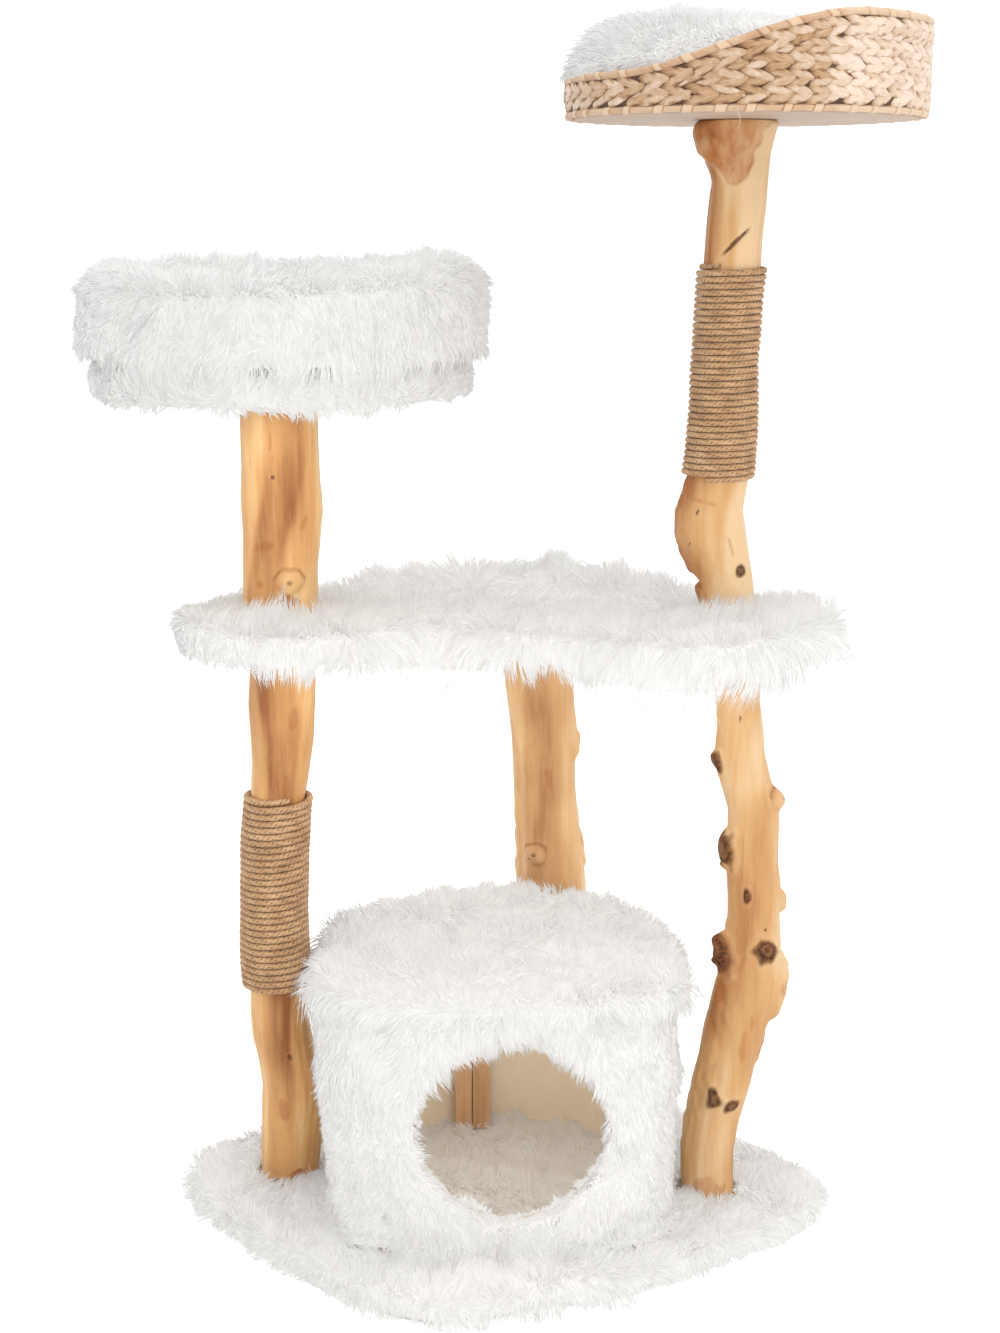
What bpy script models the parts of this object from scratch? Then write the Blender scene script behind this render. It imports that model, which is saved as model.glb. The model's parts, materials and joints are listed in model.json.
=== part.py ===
"""Cat tree: three branch posts on a plush base, a condo, a middle deck, a round bed and a woven basket.

Metres, +Z up. The origin is on the floor, under the middle of the base. The front faces -Y.
"""

import math

import bmesh
import bpy
from mathutils import Matrix, Vector

GAP = 0.0003  # between pieces that touch
FABRIC = 0.002  # underside sheets and the condo lining
PLUSH = 0.012  # backing and combed pile of the fur fabric
BOARD = 0.016  # base and deck boards

# Heights, from the floor up
BASE_BOARD_BOTTOM = FABRIC + GAP
BASE_BOARD_TOP = BASE_BOARD_BOTTOM + BOARD
BASE_TOP = 0.030
CONDO_ROOF_BOTTOM = 0.2883
CONDO_ROOF_BOARD = 0.012
CONDO_TOP = 0.311
DECK_BOARD_BOTTOM = 0.634
DECK_BOARD_TOP = DECK_BOARD_BOTTOM + BOARD
DECK_TOP = 0.662
BED_BOARD_BOTTOM = 0.897
BED_BOARD_TOP = 0.912
BED_DISC_TOP = 0.922
BED_TOP = 1.008
BASKET_BOTTOM = 1.148
BASKET_BOARD_TOP = 1.157
BASKET_LOW_RIM = 1.179
BASKET_HIGH_RIM = 1.229
EDGE_DROP = 0.006  # how far a plush cover hangs below its board

# Plan outlines of the boards. A smooth closed curve runs through the points.
BASE_OUTLINE = [
    (0.337, -0.010), (0.316, 0.050), (0.262, 0.102), (0.160, 0.205), (0.060, 0.262), (-0.060, 0.232),
    (-0.170, 0.170), (-0.275, 0.110), (-0.329, 0.036), (-0.308, -0.030), (-0.250, -0.097),
    (-0.160, -0.178), (-0.065, -0.222), (0.015, -0.196), (0.150, -0.157), (0.290, -0.068),
]
DECK_OUTLINE = [
    (0.333, 0.002), (0.262, 0.052), (0.205, 0.112), (0.140, 0.180), (0.046, 0.246), (-0.060, 0.205),
    (-0.185, 0.120), (-0.285, 0.048), (-0.315, -0.006), (-0.278, -0.056), (-0.204, -0.078),
    (-0.130, -0.030), (-0.070, -0.006), (0.000, -0.036), (0.075, -0.066), (0.150, -0.103),
    (0.220, -0.094), (0.272, -0.056), (0.310, -0.020),
]
CONDO_HALF_WIDTH = 0.178
CONDO_CENTRE_Y = -0.030
CONDO_FRONT_DEPTH, CONDO_FRONT_POWER = 0.118, 3.4
CONDO_REAR_DEPTH, CONDO_REAR_POWER = 0.175, 2.0
CONDO_PANEL = 0.004
ENTRANCE_X, ENTRANCE_Z, ENTRANCE_RADIUS = 0.012, 0.168, 0.098
BATTEN_WIDTH, BATTEN_DEPTH, BATTEN_Y = 0.019, 0.014, 0.115
BATTENS = {"left": -0.042, "right": -0.0215}

BED_CENTRE = (-0.2135, -0.008)
BED_BOARD_RADIUS = 0.170
BOLSTER_RADIUS, BOLSTER_WIDTH = 0.200, 0.082
BASKET_CENTRE = (0.232, -0.010)
BASKET_RADIUS, BASKET_WALL = 0.172, 0.009
BASKET_SEAM = math.radians(-72)
BASKET_ROD = 0.0035

# Branch posts: centre line and radius at a few heights (z, x, y, radius),
# then the grown knobs (z, direction in degrees from +X, height, radius).
POSTS = {
    "left_lower_post": (
        [
            (0.0186, -0.234, 0.028, 0.0295), (0.072, -0.2305, 0.0257, 0.0332),
            (0.150, -0.2286, 0.0226, 0.0334),
            (0.202, -0.2384, 0.0204, 0.0325), (0.246, -0.2392, 0.0185, 0.0310),
            (0.300, -0.2421, 0.0163, 0.0293),
            (0.420, -0.2379, 0.0110, 0.0290), (0.475, -0.2321, 0.0085, 0.0288),
            (0.517, -0.2278, 0.0066, 0.0302),
            (0.554, -0.2255, 0.0049, 0.0338), (0.6337, -0.2213, 0.0020, 0.0330),
        ],
        [(0.034, -115, 0.007, 0.018)],
    ),
    "left_upper_post": (
        [
            (DECK_BOARD_TOP + GAP, -0.2225, 0.001, 0.0378), (0.700, -0.2222, 0.000, 0.0380),
            (0.7585, -0.2194, -0.0041, 0.0388), (0.779, -0.2179, -0.0052, 0.0402),
            (0.804, -0.2183, -0.0066, 0.0388),
            (0.8967, -0.2185, -0.010, 0.0384),
        ],
        [(0.703, -62, 0.008, 0.016)],
    ),
    "centre_post": (
        [
            (0.0186, 0.072, 0.202, 0.0405), (0.200, 0.064, 0.201, 0.0400),
            (0.300, 0.0605, 0.200, 0.0410),
            (0.345, 0.0573, 0.199, 0.0388), (0.412, 0.052, 0.197, 0.0350),
            (0.482, 0.0507, 0.195, 0.0358),
            (0.540, 0.0451, 0.193, 0.0378), (0.6337, 0.044, 0.192, 0.0360),
        ],
        [(0.348, -112, 0.006, 0.013), (0.492, -8, 0.004, 0.012)],
    ),
    "right_lower_post": (
        [
            (0.0186, 0.2275, -0.014, 0.0284), (0.084, 0.2253, -0.012, 0.0292),
            (0.142, 0.2377, -0.010, 0.0300),
            (0.204, 0.2501, -0.0079, 0.0300), (0.237, 0.2589, -0.0068, 0.0330),
            (0.277, 0.2668, -0.0054, 0.0320),
            (0.328, 0.2686, -0.0036, 0.0282), (0.389, 0.2655, -0.0015, 0.0272),
            (0.457, 0.2641, 0.001, 0.0262),
            (0.500, 0.2530, 0.0025, 0.0255), (0.534, 0.2503, 0.0037, 0.0232),
            (0.574, 0.2456, 0.0052, 0.0230),
            (0.6337, 0.2400, 0.006, 0.0258),
        ],
        [
            (0.508, 175, 0.005, 0.014), (0.471, -12, 0.007, 0.010), (0.412, -158, 0.008, 0.013),
            (0.360, 0, 0.009, 0.009), (0.303, -66, 0.005, 0.014), (0.306, -170, 0.007, 0.012),
            (0.270, -5, 0.007, 0.016), (0.130, -118, 0.004, 0.011), (0.124, -62, 0.004, 0.011),
        ],
    ),
    "right_upper_post": (
        [
            (DECK_BOARD_TOP + GAP, 0.2330, 0.004, 0.0280), (0.680, 0.2307, 0.004, 0.0272),
            (0.703, 0.2280, 0.0034, 0.0275),
            (0.718, 0.2180, 0.0031, 0.0340), (0.740, 0.2135, 0.0026, 0.0346),
            (0.783, 0.2112, 0.0015, 0.0324),
            (0.812, 0.2185, 0.0007, 0.0296), (0.890, 0.2202, -0.0012, 0.0276),
            (0.927, 0.2204, -0.0021, 0.0270),
            (1.018, 0.2253, -0.0045, 0.0280), (1.075, 0.2279, -0.0060, 0.0271),
            (1.100, 0.2290, -0.0067, 0.0278),
            (1.122, 0.2248, -0.0074, 0.0345), (1.1477, 0.2262, -0.008, 0.0404),
        ],
        [],
    ),
}
RING_STEP = 0.030  # height between two rings of a post
POST_SIDES = 18
ROPE_THICKNESS = 0.0055
ROPE_WRAPS = {
    "left_rope_wrap": ("left_lower_post", 0.250, 0.475),
    "right_rope_wrap": ("right_upper_post", 0.804, 1.016),
}
POST_CLEARANCE = 0.0015  # round a post where it passes through plush or fabric

# Fasteners: M8 bolts in threaded inserts, M8 studs between posts, 4 mm wood screws
BOLT_RADIUS, HEAD_RADIUS, HEAD_HEIGHT = 0.004, 0.0075, 0.0045
WASHER_RADIUS, WASHER_THICKNESS = 0.011, 0.0016
INSERT_RADIUS, INSERT_LENGTH = 0.007, 0.030
BOLT_DEPTH, BORE_DEPTH = 0.040, 0.046  # into a post
COUNTERBORE_RADIUS, COUNTERBORE_DEPTH = 0.0125, 0.0070
SCREW_RADIUS, SCREW_HEAD_RADIUS, SCREW_DEPTH = 0.002, 0.004, 0.028
DECK_STUDS = {"left": (-0.2218, 0.0015), "right": (0.2365, 0.005)}
BASE_BOLTS = {"left": (-0.234, 0.028), "centre": (0.072, 0.202), "right": (0.2275, -0.014)}
DECK_BOLT = (0.044, 0.192)
BED_BOLT = (-0.2185, -0.010)
BASKET_BOLT = (0.2262, -0.008)
ROUND = 12  # sides of a fastener

FINISHES = {  # base colour, roughness, metallic
    "fur": ((0.93, 0.92, 0.89), 0.95, 0.0),
    "fabric": ((0.80, 0.72, 0.60), 0.90, 0.0),
    "board": ((0.62, 0.47, 0.32), 0.75, 0.0),
    "branch": ((0.80, 0.56, 0.32), 0.55, 0.0),
    "jute": ((0.48, 0.36, 0.24), 0.95, 0.0),
    "hyacinth": ((0.76, 0.60, 0.42), 0.80, 0.0),
    "white_board": ((0.90, 0.88, 0.85), 0.60, 0.0),
    "steel": ((0.60, 0.60, 0.62), 0.35, 1.0),
    "brass": ((0.75, 0.58, 0.28), 0.35, 1.0),
}


def clear_scene():
    for obj in list(bpy.data.objects):
        bpy.data.objects.remove(obj)


def material(name, finish):
    colour, roughness, metallic = FINISHES[finish]
    made = bpy.data.materials.new(name)
    made.use_nodes = True
    shader = made.node_tree.nodes["Principled BSDF"]
    shader.inputs["Base Color"].default_value = (*colour, 1.0)
    shader.inputs["Roughness"].default_value = roughness
    shader.inputs["Metallic"].default_value = metallic
    made.diffuse_color = (*colour, 1.0)
    return made


def add_object(name, bm, finish, smooth=False, origin=(0, 0, 0)):
    """A mesh object from bm, whose points are in world space, with its origin at the given point."""
    bmesh.ops.recalc_face_normals(bm, faces=bm.faces)
    bm.transform(Matrix.Translation(-Vector(origin)))
    mesh = bpy.data.meshes.new(name)
    bm.to_mesh(mesh)
    bm.free()
    if smooth:
        mesh.shade_smooth()
        mesh.set_sharp_from_angle(angle=math.radians(40))
    obj = bpy.data.objects.new(name, mesh)
    obj.location = origin
    if finish:
        mesh.materials.append(material(name, finish))
    bpy.context.collection.objects.link(obj)
    return obj


def loft(loops, ring=False):
    """A closed body through loops of points: capped at both ends, or joined round as a ring."""
    bm = bmesh.new()
    rows = [[bm.verts.new(point) for point in loop] for loop in loops]
    pairs = list(zip(rows, rows[1:]))
    if ring:
        pairs.append((rows[-1], rows[0]))
    else:
        bm.faces.new(rows[0])
        bm.faces.new(rows[-1])
    for lower, upper in pairs:
        for i in range(len(lower)):
            j = (i + 1) % len(lower)
            bm.faces.new((lower[i], lower[j], upper[j], upper[i]))
    return bm


def at_height(outline, z):
    return [(x, y, z) for x, y in outline]


def smooth_outline(points, steps=3):
    """A closed Catmull-Rom curve through the points."""
    outline = []
    count = len(points)
    for i in range(count):
        a, b, c, d = (Vector(points[(i + k) % count]) for k in (-1, 0, 1, 2))
        for step in range(steps):
            t = step / steps
            outline.append(0.5 * (2 * b + (c - a) * t + (2 * a - 5 * b + 4 * c - d) * t**2
                                  + (3 * b - a - 3 * c + d) * t**3))
    return [(p.x, p.y) for p in outline]


def circle(centre, radius, sides=36):
    angles = [2 * math.pi * i / sides for i in range(sides)]
    return [(centre[0] + radius * math.cos(a), centre[1] + radius * math.sin(a)) for a in angles]


def grown(outline, distance):
    """The outline moved outwards by a distance. It runs counterclockwise."""
    moved = []
    for i, point in enumerate(outline):
        along = Vector(outline[(i + 1) % len(outline)]) - Vector(outline[i - 1])
        along.normalize()
        moved.append((point[0] + along.y * distance, point[1] - along.x * distance))
    return moved


def condo_outline(offset=0.0, sides=56):
    """The condo's plan: a half ellipse behind and a squarer half at the front."""
    outline = []
    for i in range(sides):
        angle = 2 * math.pi * i / sides
        front = math.sin(angle) < 0
        depth = CONDO_FRONT_DEPTH if front else CONDO_REAR_DEPTH
        power = CONDO_FRONT_POWER if front else CONDO_REAR_POWER
        x, y = math.cos(angle), math.sin(angle)
        outline.append((
            CONDO_HALF_WIDTH * math.copysign(abs(x) ** (2 / power), x),
            CONDO_CENTRE_Y + depth * math.copysign(abs(y) ** (2 / power), y),
        ))
    return grown(outline, offset) if offset else outline


def prism(name, outline, bottom, top, finish, origin=(0, 0, 0)):
    loops = [at_height(outline, bottom), at_height(outline, top)]
    return add_object(name, loft(loops), finish, origin=origin)


def cylinders(name, rods):
    """A cutter of separate upright cylinders, each (x, y, radius, bottom, top)."""
    bm = bmesh.new()
    for x, y, radius, bottom, top in rods:
        place = Matrix.Translation((x, y, (bottom + top) / 2))
        bmesh.ops.create_cone(bm, cap_ends=True, segments=ROUND, radius1=radius, radius2=radius,
                              depth=top - bottom, matrix=place)
    return as_cutter(add_object(name, bm, None))


def as_cutter(obj):
    obj.hide_render = True
    obj.display_type = "WIRE"
    return obj


def cut(obj, cutter):
    """Takes the cutter away from obj."""
    modifier = obj.modifiers.new("cut_" + cutter.name, "BOOLEAN")
    modifier.operation = "DIFFERENCE"
    modifier.solver = "EXACT"
    modifier.object = cutter
    return obj


def cover(name, outline, bottom, cavity_top, top, thickness):
    """A plush cover: a skin over a board's top and round its edge, open underneath."""
    soft = thickness * 0.45
    loops = [
        at_height(grown(outline, GAP), cavity_top),
        at_height(grown(outline, GAP), bottom),
        at_height(grown(outline, thickness - soft), bottom),
        at_height(grown(outline, thickness), bottom + soft),
        at_height(grown(outline, thickness), top - soft),
        at_height(grown(outline, thickness - soft * 1.2), top),
    ]
    return add_object(name, loft(loops), "fur", smooth=True)


def tube_wall(name, outer, inner, bottom, top, finish):
    loops = [at_height(inner, bottom), at_height(outer, bottom)]
    loops += [at_height(outer, top), at_height(inner, top)]
    return add_object(name, loft(loops, ring=True), finish)


def turned(name, centre, profile, finish):
    """A solid of revolution about the upright line at centre, from (radius, z) pairs off the axis."""
    loops = [at_height(circle(centre, radius, ROUND), z) for radius, z in profile]
    return add_object(name, loft(loops), finish, smooth=True, origin=(*centre, profile[0][1]))


def sleeve(name, centre, outer, inner, bottom, top, finish):
    loops = [
        at_height(circle(centre, inner, ROUND), bottom), at_height(circle(centre, outer, ROUND), bottom),
        at_height(circle(centre, outer, ROUND), top), at_height(circle(centre, inner, ROUND), top),
    ]
    return add_object(name, loft(loops, ring=True), finish, smooth=True, origin=(*centre, bottom))


def station_at(stations, z):
    """Centre and radius of a post at height z, on a smooth curve through its stations."""
    last = len(stations) - 1
    i = max(k for k in range(last) if stations[k][0] <= z or k == 0)
    a, b, c, d = (stations[min(max(k, 0), last)] for k in (i - 1, i, i + 1, i + 2))
    t = min(max((z - b[0]) / (c[0] - b[0]), 0.0), 1.0)
    values = []
    for k in (1, 2, 3):
        before = (c[k] - a[k]) / (c[0] - a[0]) * (c[0] - b[0])
        after = (d[k] - b[k]) / (d[0] - b[0]) * (c[0] - b[0])
        values.append((2 * t**3 - 3 * t**2 + 1) * b[k] + (t**3 - 2 * t**2 + t) * before
                      + (3 * t**2 - 2 * t**3) * c[k] + (t**3 - t**2) * after)
    return values


def post_ring(post, z, extra=0.0):
    """One level section of a post, a little out of round, with its knobs."""
    stations, knobs = POSTS[post]
    x, y, radius = station_at(stations, z)
    ring = []
    for i in range(POST_SIDES):
        angle = 2 * math.pi * i / POST_SIDES
        wave = 0.022 * math.cos(2 * angle + 9 * z) + 0.014 * math.cos(3 * angle - 14 * z)
        reach = radius * (1 + wave) + extra
        for knob_z, direction, height, spread in knobs:
            turn = math.remainder(angle - math.radians(direction), 2 * math.pi) * radius
            reach += height * math.exp(-(turn**2 + (z - knob_z) ** 2) / spread**2)
        ring.append((x + reach * math.cos(angle), y + reach * math.sin(angle), z))
    return ring


def levels(bottom, top):
    """Evenly spaced heights from bottom to top, both included."""
    count = max(1, round((top - bottom) / RING_STEP))
    return [bottom + (top - bottom) * i / count for i in range(count + 1)]


def post_levels(post):
    """The heights of a post's rings. A rope wrap's two ends are among them."""
    stations = POSTS[post][0]
    stops = [stations[0][0], stations[-1][0]]
    for wrapped, bottom, top in ROPE_WRAPS.values():
        if wrapped == post:
            stops += [bottom, top]
    stops.sort()
    heights = [stops[0]]
    for low, high in zip(stops, stops[1:]):
        heights += levels(low, high)[1:]
    return heights


def make_post(name, bores):
    """A branch post with blind bores in its ends, each (x, y, radius, bottom, top)."""
    stations = POSTS[name][0]
    bm = loft([post_ring(name, z) for z in post_levels(name)])
    z, x, y, _ = stations[0]
    post = add_object(name, bm, "branch", smooth=True, origin=(x, y, z))
    return cut(post, cylinders(name + "_bores", bores))


def make_rope_wrap(name):
    post, bottom, top = ROPE_WRAPS[name]
    heights = levels(bottom, top)
    inner = [post_ring(post, z, 2 * GAP) for z in heights]
    outer = [post_ring(post, z, 2 * GAP + ROPE_THICKNESS) for z in heights]
    return add_object(name, loft(inner + outer[::-1], ring=True), "jute", smooth=True)


def bolt(name, centre, seat, end, finish="steel"):
    """A socket-head bolt: its head stands on the seat, its shank reaches to end, above or below."""
    up = 1 if seat > end else -1
    head_top = seat + up * HEAD_HEIGHT
    socket = head_top - up * HEAD_HEIGHT * 0.6
    profile = [
        (BOLT_RADIUS, end), (BOLT_RADIUS, seat), (HEAD_RADIUS, seat), (HEAD_RADIUS, head_top),
        (BOLT_RADIUS * 0.6, head_top), (BOLT_RADIUS * 0.6, socket),
    ]
    return turned(name, centre, profile, finish)


def washer(name, centre, seat, up):
    bottom, top = sorted((seat + up * GAP, seat + up * (GAP + WASHER_THICKNESS)))
    return sleeve(name, centre, WASHER_RADIUS, BOLT_RADIUS + GAP, bottom, top, "steel")


def insert(name, centre, end, up):
    """A threaded insert sunk into a post's end. up is 1 where the post goes up from that end."""
    bottom, top = sorted((end + up * 0.001, end + up * (0.001 + INSERT_LENGTH)))
    return sleeve(name, centre, INSERT_RADIUS, BOLT_RADIUS + GAP, bottom, top, "brass")


def insert_bore(centre, end, up):
    bottom, top = sorted((end - up * 0.002, end + up * BORE_DEPTH))
    return (*centre, INSERT_RADIUS + GAP, bottom, top)


def bolted_joint(name, centre, board_face, post_end, up):
    """Bolt, washer and insert that hold a board to a post's end. board_face is the seat of the washer.
    up is 1 where the post goes up from the board."""
    washer(name + "_washer", centre, board_face, -up)
    seat = board_face - up * (WASHER_THICKNESS + 2 * GAP)
    bolt(name + "_bolt", centre, seat, post_end + up * BOLT_DEPTH)
    insert(name + "_insert", centre, post_end, up)


def stud(name, centre):
    """A stud through the deck board that joins a lower post to an upper one."""
    bottom, top = DECK_BOARD_BOTTOM - BOLT_DEPTH, DECK_BOARD_TOP + BOLT_DEPTH
    profile = [
        (BOLT_RADIUS * 0.7, bottom), (BOLT_RADIUS, bottom + 0.002),
        (BOLT_RADIUS, top - 0.002), (BOLT_RADIUS * 0.7, top),
    ]
    return turned(name, centre, profile, "steel")


def wood_screw(name, centre, head, up):
    """A countersunk screw, its head flush at the given height. up is 1 where its point is above its head."""
    profile = [
        (SCREW_HEAD_RADIUS, head), (SCREW_RADIUS, head + up * 0.003),
        (SCREW_RADIUS, head + up * (SCREW_DEPTH - 0.006)),
        (SCREW_RADIUS * 0.2, head + up * SCREW_DEPTH),
    ]
    return turned(name, centre, profile, "steel")


def screw_holes(sockets):
    """Cutting rods for wood screws: (x, y, head height, up) gives a shank hole and a head hole."""
    rods = []
    for x, y, head, up in sockets:
        bottom, top = sorted((head + up * 0.0035, head + up * (SCREW_DEPTH + 0.002)))
        rods.append((x, y, SCREW_RADIUS + GAP, bottom, top))
        bottom, top = sorted((head - up * 0.004, head + up * 0.0036))
        rods.append((x, y, SCREW_HEAD_RADIUS + GAP, bottom, top))
    return rods


def post_hole(post, bottom, top):
    """A cutter that clears a post where it passes through a sheet between two heights."""
    heights = [bottom - 0.002, (bottom + top) / 2, top + 0.002]
    first = POSTS[post][0][0][0]
    last = POSTS[post][0][-1][0]
    rings = []
    for z in heights:
        ring = post_ring(post, min(max(z, first), last), POST_CLEARANCE)
        rings.append([(x, y, z) for x, y, _ in ring])
    return as_cutter(add_object(f"{post}_hole_{round(bottom * 1000)}", loft(rings), None))


def batten_centre(side):
    return BATTENS[side], BATTEN_Y + BATTEN_DEPTH / 2


def make_base():
    outline = smooth_outline(BASE_OUTLINE)
    board = prism("base_board", outline, BASE_BOARD_BOTTOM, BASE_BOARD_TOP, "board")
    underlay = prism("base_underlay", grown(outline, -0.004), 0.0, FABRIC, "fabric")
    plush = cover("base_plush", outline, 0.0, BASE_BOARD_TOP + GAP, BASE_TOP, PLUSH)
    bolt_holes, head_holes, sheet_holes = [], [], []
    seat = BASE_BOARD_BOTTOM + COUNTERBORE_DEPTH
    for side, centre in BASE_BOLTS.items():
        bolt_holes.append((*centre, BOLT_RADIUS + GAP, seat - 0.001, BASE_BOARD_TOP + 0.001))
        head_holes.append((*centre, COUNTERBORE_RADIUS, BASE_BOARD_BOTTOM - 0.001, seat))
        sheet_holes.append((*centre, COUNTERBORE_RADIUS, -0.001, FABRIC + 0.001))
        bolted_joint(side + "_base", centre, seat, BASE_BOARD_TOP + GAP, 1)
    screws = []
    for side in BATTENS:
        centre = batten_centre(side)
        head = BASE_BOARD_BOTTOM + 0.0005
        wood_screw(f"{side}_base_screw", centre, head, 1)
        screws += screw_holes([(*centre, head, 1)])
    cut(cut(board, cylinders("base_bolt_holes", bolt_holes)), cylinders("base_head_holes", head_holes))
    cut(underlay, cylinders("base_sheet_holes", sheet_holes))
    shanks, heads = screws[0::2], screws[1::2]
    cut(cut(board, cylinders("base_screw_shanks", shanks)), cylinders("base_screw_heads", heads))
    cut(plush, bpy.data.objects["base_screw_shanks"])
    for post in ("left_lower_post", "centre_post", "right_lower_post"):
        cut(plush, post_hole(post, BASE_BOARD_TOP, BASE_TOP))


def make_posts():
    base_end, deck_under = BASE_BOARD_TOP + GAP, DECK_BOARD_BOTTOM - GAP
    for side in ("left", "right"):
        top_bore = (*DECK_STUDS[side], BOLT_RADIUS + GAP, deck_under - BORE_DEPTH, deck_under + 0.002)
        make_post(f"{side}_lower_post", [insert_bore(BASE_BOLTS[side], base_end, 1), top_bore])
        stud(f"{side}_deck_stud", DECK_STUDS[side])
    make_post("centre_post", [insert_bore(BASE_BOLTS["centre"], base_end, 1),
                              insert_bore(DECK_BOLT, deck_under, -1)])
    uppers = {"left": (BED_BOLT, BED_BOARD_BOTTOM - GAP), "right": (BASKET_BOLT, BASKET_BOTTOM - GAP)}
    for side, (centre, end) in uppers.items():
        foot = DECK_BOARD_TOP + GAP
        foot_bore = (*DECK_STUDS[side], BOLT_RADIUS + GAP, foot - 0.002, foot + BORE_DEPTH)
        make_post(f"{side}_upper_post", [foot_bore, insert_bore(centre, end, -1)])
    for name in ROPE_WRAPS:
        make_rope_wrap(name)


def make_deck():
    outline = smooth_outline(DECK_OUTLINE)
    board = prism("deck_board", outline, DECK_BOARD_BOTTOM, DECK_BOARD_TOP, "board")
    sheet_top = DECK_BOARD_BOTTOM - GAP
    underlay = prism("deck_underlay", grown(outline, -0.002), sheet_top - FABRIC, sheet_top, "fabric")
    hem = DECK_BOARD_BOTTOM - EDGE_DROP
    plush = cover("deck_plush", outline, hem, DECK_BOARD_TOP + GAP, DECK_TOP, PLUSH)
    seat = DECK_BOARD_TOP - COUNTERBORE_DEPTH
    through = [
        (*centre, BOLT_RADIUS + GAP, DECK_BOARD_BOTTOM - 0.001, DECK_BOARD_TOP + 0.001)
        for centre in DECK_STUDS.values()
    ]
    through.append((*DECK_BOLT, BOLT_RADIUS + GAP, DECK_BOARD_BOTTOM - 0.001, seat + 0.001))
    cut(board, cylinders("deck_bolt_holes", through))
    head_hole = (*DECK_BOLT, COUNTERBORE_RADIUS, seat, DECK_BOARD_TOP + 0.001)
    cut(board, cylinders("deck_head_hole", [head_hole]))
    bolted_joint("centre_deck", DECK_BOLT, seat, DECK_BOARD_BOTTOM - GAP, -1)
    for post in ("left_lower_post", "centre_post", "right_lower_post"):
        cut(underlay, post_hole(post, sheet_top - FABRIC, sheet_top))
    for post in ("left_upper_post", "right_upper_post"):
        cut(plush, post_hole(post, DECK_BOARD_TOP, DECK_TOP))


def entrance_cutter(name, radius):
    """A level cylinder through the condo's front wall."""
    bm = bmesh.new()
    front = CONDO_CENTRE_Y - CONDO_FRONT_DEPTH
    place = Matrix.Translation((ENTRANCE_X, front, ENTRANCE_Z)) @ Matrix.Rotation(math.pi / 2, 4, "X")
    bmesh.ops.create_cone(bm, cap_ends=True, segments=40, radius1=radius, radius2=radius, depth=0.16,
                          matrix=place)
    return as_cutter(add_object(name, bm, None))


def make_condo():
    foot = BASE_TOP + GAP
    wall_top = CONDO_ROOF_BOTTOM - GAP
    wall = tube_wall("condo_wall", condo_outline(), condo_outline(-CONDO_PANEL), foot, wall_top, "board")
    cut(wall, entrance_cutter("wall_entrance", ENTRANCE_RADIUS))
    plush = tube_wall("condo_wall_plush", condo_outline(PLUSH), condo_outline(GAP), foot, wall_top, "fur")
    cut(plush, entrance_cutter("plush_entrance", ENTRANCE_RADIUS - 0.003))
    inside = -CONDO_PANEL - GAP
    outer, inner = condo_outline(inside), condo_outline(inside - FABRIC)
    lining = tube_wall("condo_lining", outer, inner, foot, wall_top, "fabric")
    cut(lining, entrance_cutter("lining_entrance", ENTRANCE_RADIUS + 0.002))

    roof_top = CONDO_ROOF_BOTTOM + CONDO_ROOF_BOARD
    roof = prism("condo_roof_board", condo_outline(), CONDO_ROOF_BOTTOM, roof_top, "board")
    cover("condo_roof_plush", condo_outline(), CONDO_ROOF_BOTTOM, roof_top + GAP, CONDO_TOP, PLUSH)
    screws = []
    for side in BATTENS:
        centre = batten_centre(side)
        half = BATTEN_WIDTH / 2
        corners = [
            (centre[0] + sx * half, centre[1] + sy * BATTEN_DEPTH / 2)
            for sx, sy in ((-1, -1), (1, -1), (1, 1), (-1, 1))
        ]
        batten = prism(f"{side}_condo_batten", corners, foot, wall_top, "branch", (*centre, foot))
        head = roof_top - 0.0005
        wood_screw(f"{side}_roof_screw", centre, head, -1)
        roof_rods = screw_holes([(*centre, head, -1)])
        screws += roof_rods
        lower_rods = screw_holes([(*centre, BASE_BOARD_BOTTOM + 0.0005, 1)])
        cut(batten, cylinders(f"{side}_batten_holes", [roof_rods[0], lower_rods[0]]))
    shanks, heads = screws[0::2], screws[1::2]
    cut(cut(roof, cylinders("roof_screw_shanks", shanks)), cylinders("roof_screw_heads", heads))


def bolster_loops(centre, outer, width, bottom, top, sides=10):
    """The rounded section of the bed's ring, turned about the upright line at centre."""
    middle, half = outer - width / 2, width / 2
    height = (top - bottom) / 2
    loops = []
    for i in range(sides):
        angle = 2 * math.pi * i / sides
        across = math.copysign(abs(math.cos(angle)) ** 0.75, math.cos(angle))
        rise = math.copysign(abs(math.sin(angle)) ** 0.75, math.sin(angle))
        loops.append(at_height(circle(centre, middle + half * across), bottom + height * (1 + rise)))
    return loops


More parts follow.
